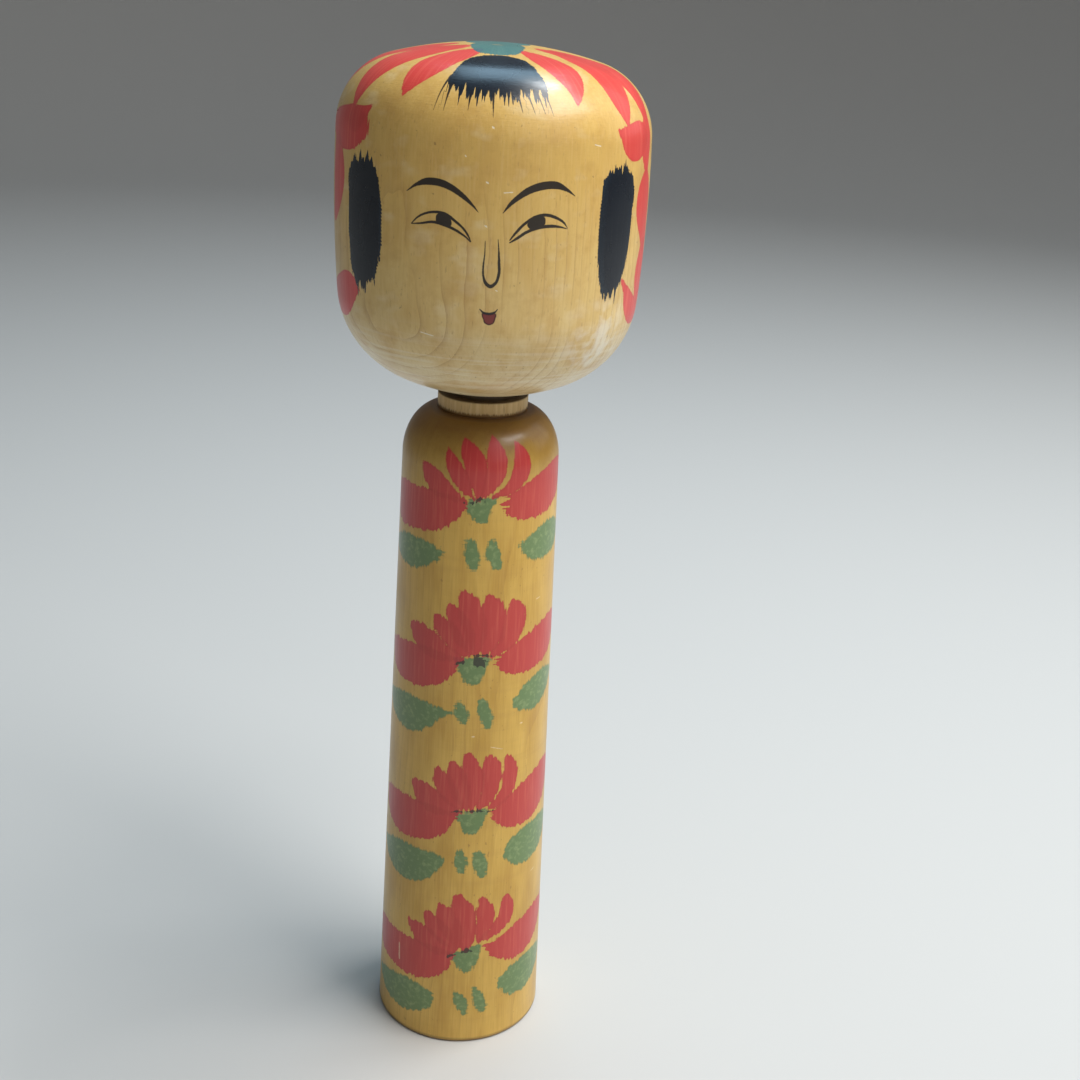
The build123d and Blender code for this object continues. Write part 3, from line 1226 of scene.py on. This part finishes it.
    STRAY_HAIRS = (
        ((-18.6, 35, 0.2), (-20.4, 40, 0.14), (-21.6, 45.5, 0.03)),
        ((-17.2, 38, 0.3), (-18, 45.5, 0.03)),
        ((-9, 39.5, 0.3), (-9.4, 44.8, 0.03)), ((-1, 40, 0.3), (-0.6, 46.3, 0.03)),
        ((8, 40, 0.26), (9.6, 45, 0.03)),
        ((11.8, 40, 0.22), (14, 45.2, 0.03)), ((15.4, 39.5, 0.22), (17.6, 45, 0.03)),
        ((18, 38, 0.22), (20.6, 45.6, 0.03)),
    )
    LOWER_LINES = (
        # lower lids
        ((-27.5, 72.8, 0.12), (-24, 72.45, 0.24), (-19.4, 71.8, 0.34), (-15.2, 72.3, 0.38),
         (-10.35, 73.7, 0.3),
         (-7.6, 75, 0.2), (-6.3, 76, 0.1)),
        ((6.55, 75.6, 0.15), (9.1, 74.4, 0.34), (12.1, 72.9, 0.38), (16.2, 71.8, 0.4),
         (20.5, 71.4, 0.42),
         (23.7, 71.6, 0.28), (26.9, 72.15, 0.06)),
        # mouth
        ((-2.5, 92.4, 0.1), (-1.4, 93.2, 0.27), (0.1, 93.5, 0.3), (1.8, 93.4, 0.29), (2.9, 93, 0.22),
         (3.65, 92.3, 0.1)),
    )
    IRISES = (
        Patch(((-18.1, 69.8), (-18.1, 71.8), (-16, 72.3), (-13.4, 72.7), (-13, 71.2), (-13.8, 70),
               (-16, 69.4))),
        Patch(((12.2, 71), (13.8, 69.7), (16, 69), (18, 69.1), (18.2, 71.2), (16, 71.9), (13.6, 72.3))),
    )
    LIP = Patch(((-1.7, 93.4), (-1.35, 94.9), (-0.3, 96.2), (1, 96.5), (2.3, 96.1), (3.1, 94.8),
                 (3.2, 93.3), (0.8, 93.6)))
    NICKS = (
        ((-0.6, 48.4, 0.25), (-0.2, 48.7, 0.25)), ((-9.2, 55.4, 0.2), (-8.8, 55.6, 0.2)),
        ((-1.8, 61.3, 0.3), (-1.4, 61.5, 0.3)),
        ((4, 63.6, 0.12), (7, 63.4, 0.12)), ((-1.7, 71.7, 0.28), (-1.3, 71.9, 0.28)),
        ((2.8, 87.5, 0.2), (3.2, 87.7, 0.2)),
        ((36, 52, 0.1), (39, 52.4, 0.1)), ((-24, 100, 0.12), (-19, 100.6, 0.12)),
    )

    def paint(self, form: TurnedForm) -> None:
        """Brushes on the crown ornament, the hair and the face.

        Args:
            form: The turned head.
        """
        red, teal = PaintLayer(form, "red"), PaintLayer(form, "teal")
        hair, iris, lip = PaintLayer(form, "hair"), PaintLayer(form, "iris"), PaintLayer(form, "lip")
        for stroke in (*self.FRONT_PETALS, *self.SIDE_ORNAMENTS):
            red.lay(stroke)
        for turn in self.BACK_PETAL_TURNS:
            red.lay(BrushStroke(tuple((turn, *dab) for dab in self.BACK_PETAL), dry=(0.6, 0.8)))
        teal.depth = np.where(form.skin, np.maximum(self.DISC - form.level, -REACH), teal.depth)
        teal.fill(self.TONGUE)
        for patch in (self.FRINGE, *self.LOCKS):
            hair.fill(patch)
        for patch in self.IRISES:
            iris.fill(patch)
        lip.fill(self.LIP)
        upper, lower, nick = (LineLayer(form, name) for name in ("upper", "lower", "nick"))
        drawings = ((upper, self.UPPER_LINES + self.STRAY_HAIRS), (lower, self.LOWER_LINES),
                    (nick, self.NICKS))
        for layer, lines in drawings:
            for line in lines:
                layer.draw(line)
        for layer in (red, teal, hair, iris, lip, upper, lower, nick):
            layer.keep()

    def spread(self, form: TurnedForm) -> None:
        """Unrolls the surface on a map that gives the face the most room.

        Args:
            form: The turned head.
        """
        mesh = form.mesh
        flat = mesh.uv_layers.new(name="OFBake")
        corner = np.empty(len(mesh.loops), dtype=int)
        mesh.loops.foreach_get("vertex_index", corner)
        sizes, centre = np.empty(len(mesh.polygons), dtype=int), np.empty(len(mesh.polygons) * 3)
        mesh.polygons.foreach_get("loop_total", sizes)
        mesh.polygons.foreach_get("center", centre)
        centre = centre.reshape(-1, 3)
        middle = np.repeat(np.degrees(np.arctan2(centre[:, 0], -centre[:, 1])), sizes)
        turn = form.turn[corner]
        turn = turn + 360 * np.round((middle - turn) / 360)
        on_axis = np.linalg.norm(form.spots[corner, :2], axis=1) < 0.01
        turn = np.where(on_axis, middle, turn)
        across = np.interp(turn, (-180, -100, -35, 35, 100, 180),
                           (0.003, 0.09, 0.27, 0.73, 0.91, 0.997))
        down = np.interp(form.level[corner], (0, 14, 58, 98, 130, form.level.max()),
                         (0.997, 0.94, 0.70, 0.14, 0.05, 0.003))
        flat.data.foreach_set("uv", np.column_stack([across, down]).ravel().astype(np.float32))

    def build(self) -> bpy.types.Object:
        """Makes, paints and finishes the head.

        Returns:
            The finished piece.
        """
        piece, form = self.turned()
        self.paint(form)
        self.spread(form)
        finished(piece, "head", self.finish.material())
        return piece


@dataclass(frozen=True)
class Flower:
    """One of the stacked flowers, as its brush strokes.

    Attributes:
        petals: Red strokes, the outer ones first.
        calyx: Green patch under the petals.
        accents: Dark lines over the calyx.
        leaves: Green strokes under the flower: the right and left leaf and two buds.
    """

    petals: tuple[BrushStroke, ...]
    calyx: Patch
    accents: tuple[tuple[Dab, ...], ...]
    leaves: tuple[BrushStroke, ...]


TOP_FLOWER = Flower(
    petals=(
        BrushStroke(((-88, 178, 1.5), (-75, 177.8, 5.7), (-52, 178.2, 6.4), (-30, 179.5, 5.5),
                     (-20, 181, 3.7),
                     (-8, 183.3, 0.4)), dry=(0.6, 0.8)),
        BrushStroke(((84, 189.2, 2), (75, 187.3, 5.2), (62, 185.2, 6.4), (50, 183.6, 6.3),
                     (40, 182.6, 5.6),
                     (30, 182.3, 3.9), (20, 182.7, 1.2)), dry=(0.6, 2.2)),
        BrushStroke(((-44.5, 192.4, 0.15), (-38.5, 189.8, 2.5), (-30, 187, 3.3), (-20, 184.8, 1.9),
                     (-9, 183.3, 0.4))),
        BrushStroke(((-25, 197.9, 0.1), (-20.5, 194.2, 1.8), (-15.5, 191, 2.5), (-9, 186.8, 1.5),
                     (-3, 184, 0.4))),
        BrushStroke(((-13.5, 200.8, 0.15), (-8, 197.3, 2.4), (-3, 193.8, 3.1), (-1, 188.5, 2.2),
                     (0, 183.5, 0.5))),
        BrushStroke(((8.5, 201.8, 0.15), (11.4, 197.5, 2.4), (12.4, 193.5, 3), (8.5, 188.8, 2.2),
                     (1.5, 184.2, 0.5))),
        BrushStroke(((27.5, 200.2, 0.15), (31.4, 196, 2.2), (31.2, 192.2, 2.9), (25, 188, 2),
                     (9, 184.6, 0.3))),
    ),
    calyx=Patch(((-9, 182.4), (-6, 179.5), (0, 177.2), (6, 177.2), (10, 182), (14, 184.6), (3, 184.8)),
                frays=(1.0, 0.8)),
    accents=(((-10, 182.8, 0.15), (-4, 183, 0.3)),
             ((-1, 183.5, 0.5), (1.5, 184.4, 0.6), (4, 183.4, 0.25))),
    leaves=(
        BrushStroke(((33, 170, 0.5), (42, 168.7, 3), (52, 168.8, 4.9), (64, 169.4, 5.4), (75, 169.5, 4),
                     (84, 169.5, 1.2)), dry=(0.8, 0.5)),
        BrushStroke(((-25, 166.8, 0.7), (-35, 166, 2.8), (-48, 164.8, 4.6), (-62, 164.3, 4.5),
                     (-85, 164, 1)), dry=(0.8, 0.5)),
        BrushStroke(((-5, 171.4, 1.1), (-3.5, 168, 2.1), (-1.5, 164.8, 1.5)), dry=(0.5, 0.6)),
        BrushStroke(((10, 171.4, 1.1), (11.5, 168, 2.1), (14.5, 164.8, 1.6)), dry=(0.5, 0.6)),
    ),
)
SECOND_FLOWER = Flower(
    petals=(
        BrushStroke(((-79, 130.8, 1.5), (-70, 129.8, 4.6), (-58, 129.4, 6.3), (-45, 130, 6.7),
                     (-32, 131, 6),
                     (-20, 132.5, 3.8), (-9, 134.6, 0.5)), dry=(0.8, 0.8)),
        BrushStroke(((82, 141.5, 2), (74, 139.3, 5.2), (62, 137.2, 6.5), (50, 135.8, 6.4),
                     (38, 134.6, 5.5),
                     (28, 134.3, 3.8), (19, 134.8, 0.8)), dry=(0.8, 1.8)),
        BrushStroke(((-46.5, 142, 1.8), (-40, 140, 3.8), (-31, 138.3, 4.2), (-20, 136.6, 2.9),
                     (-7, 135, 0.5))),
        BrushStroke(((-26.5, 147.2, 1.3), (-21, 144.5, 3), (-14, 141.4, 3.3), (-3, 136.5, 0.7))),
        BrushStroke(((-16, 150.5, 1.5), (-12, 147.5, 3.1), (-7.5, 144, 3.6), (0, 137, 0.8))),
        BrushStroke(((-7, 155.5, 1.3), (-3.5, 152.3, 3.3), (-1, 148.3, 4), (1.6, 142.5, 3),
                     (3, 137, 0.7))),
        BrushStroke(((10.5, 154.6, 1.3), (13.2, 151.3, 3.3), (14.8, 147, 4), (12.5, 141.2, 3.1),
                     (8, 136.8, 0.8))),
        BrushStroke(((29, 151.9, 1.6), (31.2, 148.3, 3.5), (29, 143.8, 3.8), (22, 139.4, 2.4),
                     (13, 136.5, 0.8))),
    ),
    calyx=Patch(((-13, 134.8), (-8.5, 131), (-3, 127.4), (3, 126.8), (8, 129), (12, 134), (13.5, 136.3),
                 (0, 136)),
                frays=(1.0, 0.8)),
    accents=(((-13, 133.2, 0.12), (-8, 134, 0.3), (-5, 134.4, 0.12)),
             ((1.5, 136, 0.3), (4, 134.6, 1.3), (7.5, 134, 0.9),
             (9, 132.8, 0.2)), ((-1, 136.5, 0.15), (7, 136.7, 0.35), (14, 136.3, 0.15))),
    leaves=(
        BrushStroke(((32.5, 120.2, 0.7), (42, 120.3, 3.7), (52, 121.2, 5.4), (62, 122.4, 5),
                     (72, 123.2, 3.2),
                     (81, 123.8, 1)), dry=(0.8, 0.5)),
        BrushStroke(((-14, 117.6, 0.4), (-24, 116.7, 2), (-35, 115, 4.2), (-48, 113.6, 5.8),
                     (-62, 113.5, 5),
                     (-83, 114.5, 1)), dry=(0.6, 0.5)),
        BrushStroke(((-8.5, 121, 0.9), (-6, 118, 1.9), (-4, 115.3, 1.2)), dry=(0.5, 0.6)),
        BrushStroke(((8, 121.6, 1.1), (11, 118, 2.3), (13, 114.6, 1.5)), dry=(0.5, 0.6)),
    ),
)
THIRD_FLOWER = Flower(
    petals=(
        BrushStroke(((-76, 81.2, 1.6), (-67, 79, 5.2), (-55, 78.2, 6.9), (-43, 78.4, 6.9),
                     (-30, 79.5, 6.2),
                     (-18, 81.2, 4), (-7, 83.6, 0.6)), dry=(0.8, 0.8)),
        BrushStroke(((80, 91.9, 2.6), (70, 88.7, 6.6), (58, 86, 7.4), (47, 84.4, 7.3), (36, 83.3, 5.8),
                     (26, 82.9, 3), (18.5, 83.6, 0.7)), dry=(0.8, 1.8)),
        BrushStroke(((-38.5, 91, 1.6), (-32, 88.8, 3.7), (-24, 87, 4.1), (-15, 85.6, 2.8),
                     (-3, 84.5, 0.5))),
        BrushStroke(((-21, 97.5, 1.4), (-17.5, 94.5, 3), (-12.5, 91, 3.2), (-3, 86, 0.8))),
        BrushStroke(((-10, 100.5, 1.4), (-7.3, 96.8, 3.1), (-4, 91.5, 3.2), (0, 86, 0.8))),
        BrushStroke(((0.5, 103.4, 1.4), (3.2, 99.2, 3.2), (4.8, 94, 3.4), (4.5, 85.3, 0.6))),
        BrushStroke(((15.5, 103, 1.3), (17.7, 99.2, 3), (18.2, 94.5, 3.1), (14, 89, 2),
                     (8.5, 85.8, 0.5))),
        BrushStroke(((30, 101.6, 1.3), (32.2, 97.2, 2.7), (31, 92, 2.6), (25.5, 88.5, 1.9),
                     (18, 86, 0.6))),
    ),
    calyx=Patch(((-8, 84), (-4, 80.8), (1, 77.4), (7, 77), (12, 80), (15.5, 85), (3, 85)),
                frays=(1.0, 0.8)),
    accents=(((-10, 84.4, 0.12), (-5, 84.9, 0.3), (-2, 84.7, 0.1)),
             ((2, 85, 0.12), (8, 85.2, 0.4), (13, 84.8, 0.15)),
             ((16, 84.6, 0.12), (20, 84.9, 0.25))),
    leaves=(
        BrushStroke(((32, 69.7, 0.8), (40, 69.2, 4.6), (50, 68.8, 6.6), (61, 69.6, 6.4), (72, 70.4, 5),
                     (82, 71, 2.2)), dry=(0.8, 0.5)),
        BrushStroke(((-13.5, 67.6, 0.5), (-22, 66, 3), (-32, 63.8, 5.2), (-45, 62.5, 6.4),
                     (-60, 62.2, 5),
                     (-79, 63, 0.8)), dry=(0.6, 0.5)),
        BrushStroke(((-3, 70.4, 1), (-2, 67, 1.9), (-0.5, 63.9, 1.1)), dry=(0.5, 0.6)),
        BrushStroke(((9.5, 70.3, 1.1), (12, 66.5, 2.4), (14, 62.5, 1.3)), dry=(0.5, 0.6)),
    ),
)
LOWEST_FLOWER = Flower(
    petals=(
        BrushStroke(((-83, 29, 2.2), (-74, 28.9, 5.6), (-60, 28.7, 6.3), (-46, 28.6, 6.8),
                     (-33, 28.8, 6.9),
                     (-20, 30.2, 5.6), (-6, 33.2, 1.2)), dry=(0.8, 0.8)),
        BrushStroke(((81, 40.8, 2), (71, 38.6, 5), (60, 36.4, 6.7), (49, 34.8, 6.8), (38, 34.2, 5.6),
                     (28, 34.6, 3.4), (19, 35.8, 0.7)), dry=(0.8, 1.8)),
        BrushStroke(((-39.5, 42, 0.7), (-34, 40.4, 2.2), (-27, 38.6, 3.7), (-18, 36.4, 3.6),
                     (-5, 34.6, 0.9))),
        BrushStroke(((-24.8, 47, 1.1), (-20.5, 44.2, 3), (-13, 40.8, 3.4), (-3, 36, 0.9))),
        BrushStroke(((-15, 50.7, 1.2), (-11, 47.2, 3.2), (-7, 43, 3.6), (-0.5, 36.5, 0.9))),
        BrushStroke(((-2, 53.8, 1.7), (1, 49.8, 3.6), (2.2, 44, 3.7), (3.2, 38.6, 2.6),
                     (4, 35.3, 0.8))),
        BrushStroke(((15.3, 53.2, 1.3), (17.1, 49.3, 2.8), (17.3, 44.5, 3), (13.5, 38.6, 1.2))),
        BrushStroke(((33, 52.3, 1.3), (34.4, 48.6, 2.8), (32, 44.8, 2.9), (24, 41.2, 2),
                     (14, 38.6, 0.7))),
    ),
    calyx=Patch(((-7, 33), (-2, 29.4), (4, 26.8), (9, 28.4), (13, 31), (15.5, 37), (4, 35.5)),
                frays=(1.0, 0.8)),
    accents=(((-9, 32.2, 0.12), (-5, 33.2, 0.35), (-2, 33.6, 0.1)),
             ((1.5, 34.4, 0.2), (5, 35, 0.6), (9.5, 34.6, 0.2))),
    leaves=(
        BrushStroke(((32, 21.3, 1.1), (40, 20.2, 4.6), (50, 19.8, 6.4), (60, 20.3, 6.2),
                     (71, 21.3, 4.4),
                     (81, 22, 1.8)), dry=(0.8, 0.5)),
        BrushStroke(((-20, 16.8, 1.2), (-28, 14.9, 4.4), (-39, 14, 6), (-50, 13.2, 5.6), (-62, 13, 4.2),
                     (-74, 13.5, 1.7)), dry=(0.6, 0.5)),
        BrushStroke(((-0.5, 19.2, 0.8), (2, 15.5, 1.9), (5, 11.8, 1)), dry=(0.5, 0.6)),
        BrushStroke(((12, 20, 0.9), (15, 16.3, 2), (18, 12, 1.2)), dry=(0.5, 0.6)),
    ),
)


@dataclass
class Body:
    """The flared column with its rounded shoulder, collar, bore and lathe marks, in mm."""

    foot_radius: float = 26.3
    foot_round: float = 1.0
    shoulder_radius: float = 22.6
    shoulder_foot: float = 190.5
    collar_radius: float = 12.9
    collar_foot: float = 204.5
    collar_round: float = 0.4
    top: float = 208.9
    bore_radius: float = 8.05
    bore_foot: float = 180.9
    mouth_chamfer: float = 0.5
    claw_start: float = 4.5
    claw_end: float = 11.0
    claw_width: float = 1.2
    claw_depth: float = 1.5
    dimple_radius: float = 1.4
    dimple_depth: float = 1.6
    flowers: tuple[Flower, ...] = (TOP_FLOWER, SECOND_FLOWER, THIRD_FLOWER, LOWEST_FLOWER)

    NICKS = (((50, 151.4, 0.14), (55, 151.6, 0.14)), ((39, 112.5, 0.2), (41, 112.5, 0.2)),
             ((2, 110.3, 0.2), (4, 110.3, 0.2)),
             ((16, 106.6, 0.12), (25, 105.4, 0.12)), ((-48.5, 31, 0.2), (-47.8, 25, 0.3)),
             ((58, 57, 0.14), (63, 57.4, 0.14)))

    def turned(self) -> tuple[bpy.types.Object, TurnedForm]:
        """Turns the block, from the dimple in the foot up the outside and down the bore.

        Returns:
            The piece, and its mesh with its painted side known.
        """
        slope = math.atan2(self.foot_radius - self.shoulder_radius, self.shoulder_foot)
        edge = self.foot_radius - self.foot_round * math.tan((math.pi / 2 - slope) / 2)
        rise = (self.foot_radius - math.sin(slope) * (self.foot_radius - edge),
                math.cos(slope) * (self.foot_radius - edge))
        outline = Outline(0.0, self.dimple_depth)
        outline.run((self.dimple_radius, 0.0))
        outline.run((self.claw_end + 2, 0.0))
        outline.run((edge, 0.0), 6.0)
        outline.arc((edge, self.foot_round), rise, 0.3)
        outline.run((self.shoulder_radius, self.shoulder_foot), 0.52)
        tall = (self.collar_foot - self.shoulder_foot) / (self.shoulder_radius - self.collar_radius)
        outline.arc((self.collar_radius, self.shoulder_foot), (self.collar_radius, self.collar_foot),
                    0.5, tall)
        outline.run((self.collar_radius, self.top - self.collar_round), 0.5)
        rim = self.collar_radius - self.collar_round
        outline.arc((rim, self.top - self.collar_round), (rim, self.top), 0.13)
        outline.run((self.bore_radius + self.mouth_chamfer, self.top), 1.5)
        outline.run((self.bore_radius, self.top - self.mouth_chamfer))
        outline.run((self.bore_radius, self.bore_foot), 6.0)
        outline.run((0.0, self.bore_foot), 4.0)
        shape, rail = outline.spun(((85, 24), (190, 144), (85, 24)))
        self._strike_claws(shape)
        level = shape.verts.layers.float["level"]
        for point in shape.verts:
            point[level] = point.co.z
        piece = as_object(shape, "body_turned")
        piece.data.set_sharp_from_angle(angle=CREASE)
        outer = (rail[:, 1] > self.collar_radius - 0.5) & (rail[:, 2] > 0)
        return piece, TurnedForm(piece.data, rail[outer][:, (2, 1, 2)])

    def _strike_claws(self, shape: bmesh.types.BMesh) -> None:
        """Sinks the four slits of the lathe's drive claws into the foot.

        Args:
            shape: The spun block, in mm.
        """
        half, flush = self.claw_width / 2, 0.001
        ways = [Vector((math.sin(a), math.cos(a), 0)) for a in (math.radians(45), math.radians(135))]
        for way in ways:
            for gap in (half, self.claw_start, self.claw_end):
                for sign in (-1, 1):
                    foot = [f for f in shape.faces if f.calc_center_median().z < flush]
                    near = {*foot, *(e for f in foot for e in f.edges), *(v for f in foot for v in f.verts)}
                    bmesh.ops.bisect_plane(shape, geom=list(near), dist=flush / 2,
                                           plane_co=way * gap * sign, plane_no=way)
        slits = []
        for face in shape.faces:
            middle = face.calc_center_median()
            for one, other in (ways, ways[::-1]):
                if middle.z < flush and abs(middle.dot(one)) < half \
                        and self.claw_start < abs(middle.dot(other)) < self.claw_end:
                    slits.append(face)
        sunk = bmesh.ops.extrude_face_region(shape, geom=slits)["geom"]
        bmesh.ops.translate(shape, vec=(0, 0, self.claw_depth),
                            verts=[v for v in sunk if isinstance(v, bmesh.types.BMVert)])
        bmesh.ops.delete(shape, geom=[f for f in slits if f.is_valid], context="FACES_ONLY")
        bmesh.ops.recalc_face_normals(shape, faces=shape.faces)

    def paint(self, form: TurnedForm) -> None:
        """Brushes on the stacked flowers.

        Args:
            form: The turned body.
        """
        red, green = PaintLayer(form, "red"), PaintLayer(form, "green")
        accent, nick = LineLayer(form, "accent"), LineLayer(form, "nick")
        for flower in self.flowers:
            green.fill(flower.calyx)
            for leaf in flower.leaves:
                green.lay(leaf)
            for petal in flower.petals:
                red.lay(petal)
            for line in flower.accents:
                accent.draw(line)
        for line in self.NICKS:
            nick.draw(line)
        for layer in (red, green, accent, nick):
            layer.keep()

    def build(self) -> bpy.types.Object:
        """Makes, paints and finishes the body.

        Returns:
            The finished piece.
        """
        piece, form = self.turned()
        self.paint(form)
        finish = BodyFinish(self.collar_foot, self.collar_radius)
        finished(piece, "body", finish.material())
        return piece


@dataclass(frozen=True)
class Lamp:
    """A soft box aimed at the doll.

    Attributes:
        name: Its name.
        turn: Where it stands round the doll, in degrees.
        rise: How high it stands above the doll, in degrees.
        gap: Its distance, in m.
        size: Its width, in m.
        power: Its power, in W.
        colour: Its colour.
    """

    name: str
    turn: float
    rise: float
    gap: float
    size: float
    power: float
    colour: Colour = (1.0, 1.0, 1.0)

    def place(self, target: Vector) -> None:
        """Sets the lamp up.

        Args:
            target: The place that it is aimed at.
        """
        light = bpy.data.lights.new(self.name, "AREA")
        light.shape, light.size = "SQUARE", self.size
        light.energy, light.color = self.power, self.colour
        lamp = bpy.data.objects.new(self.name, light)
        bpy.context.collection.objects.link(lamp)
        turn, rise = math.radians(self.turn), math.radians(self.rise)
        towards = Vector((math.sin(turn) * math.cos(rise), -math.cos(turn) * math.cos(rise),
                          math.sin(rise)))
        lamp.location = target + towards * self.gap
        lamp.rotation_euler = towards.to_track_quat("Z", "Y").to_euler()


@dataclass
class Studio:
    """The pale floor, the soft light and the camera.

    Attributes:
        lamps: The soft boxes.
        sky: Strength of the even light from all round.
        aim: How far above the doll's middle the lamps are aimed, in m.
        flat: Radius of the level part of the floor, in m.
        bend: Radius of its upward curve, in m.
        rim: Height of its rim, in m.
        eye: Where the camera is, in m.
        pan: How far it turns to the left of the back wall, in degrees.
        tilt: How far it looks up from the ground, in degrees.
        roll: How far it leans, in degrees.
        focal: Focal length on a 36 mm sensor, in mm.
    """

    lamps: tuple[Lamp, ...] = (
        Lamp("ceiling", 66, 56, 1.3, 0.75, 17.5, (1.0, 0.995, 0.98)),
        Lamp("room", 38, 26, 1.7, 1.3, 5.0, (1.0, 0.98, 0.95)),
        Lamp("window", 112, 26, 1.4, 1.0, 2.8, (0.90, 0.96, 1.0)),
        Lamp("glint", 114, 69, 1.2, 0.22, 4.8, (0.94, 0.98, 1.0)),
        Lamp("skylight", 174, 69, 1.3, 0.62, 6.0, (0.50, 0.78, 1.0)),
    )
    sky: float = 0.12
    aim: float = 0.06
    flat: float = 1.9
    bend: float = 1.3
    rim: float = 2.2
    eye: tuple[float, float, float] = (0.0, -0.3947, 0.3185)
    pan: float = -2.71
    tilt: float = 90 - 21.36
    roll: float = 3.44
    focal: float = 47.6

    def floor(self) -> None:
        """Lays a pale floor that curves up all round the doll, in metres."""
        bowl = Outline(0.0, 0.0)
        bowl.run((self.flat, 0.0))
        bowl.arc((self.flat, self.bend), (self.flat + self.bend, self.bend), 0.1)
        bowl.run((self.flat + self.bend, self.rim))
        sheet, _ = bowl.spun(((360, 96),))
        mesh = bpy.data.meshes.new("floor")
        sheet.to_mesh(mesh)
        sheet.free()
        for face in mesh.polygons:
            face.use_smooth = True
        bench = Bench("pale_floor")
        shader = bench.node("ShaderNodeBsdfPrincipled", {},
                            {"Base Color": (0.58, 0.57, 0.55), "Roughness": 0.85})
        bench.node("ShaderNodeOutputMaterial", {}, {"Surface": shader})
        mesh.materials.append(bench.material)
        floor = bpy.data.objects.new("floor", mesh)
        bpy.context.collection.objects.link(floor)
        floor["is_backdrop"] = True

    def light(self) -> None:
        """Sets up the lamps and an even sky."""
        low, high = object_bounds()
        middle = (low + high) / 2
        for lamp in self.lamps:
            lamp.place(middle + Vector((0, 0, self.aim)))
        world = bpy.data.worlds.new("sky")
        world.use_nodes = True
        bpy.context.scene.world = world
        background = world.node_tree.nodes["Background"]
        background.inputs["Color"].default_value = (0.95, 0.97, 1.0, 1)
        background.inputs["Strength"].default_value = self.sky

    def camera(self) -> None:
        """Places the camera, a little above the head and looking down."""
        lens = bpy.data.cameras.new("camera")
        lens.lens, lens.sensor_width, lens.clip_start = self.focal, 36.0, 0.01
        camera = bpy.data.objects.new("camera", lens)
        bpy.context.collection.objects.link(camera)
        camera.matrix_world = (Matrix.Translation(self.eye)
                               @ Matrix.Rotation(math.radians(self.pan), 4, "Z")
                               @ Matrix.Rotation(math.radians(self.tilt), 4, "X")
                               @ Matrix.Rotation(math.radians(self.roll), 4, "Z"))
        scene = bpy.context.scene
        scene.camera = camera
        scene.view_settings.view_transform = "Standard"


def main() -> None:
    """Builds the doll and the studio."""
    logging.basicConfig(level=logging.INFO, format="%(message)s")
    studio = Studio()
    studio.camera()
    pieces = (Body().build(), Head().build())
    studio.floor()
    studio.light()
    log.info("pieces: %s", ", ".join(piece.name for piece in pieces))


if __name__ == "__main__":
    main()
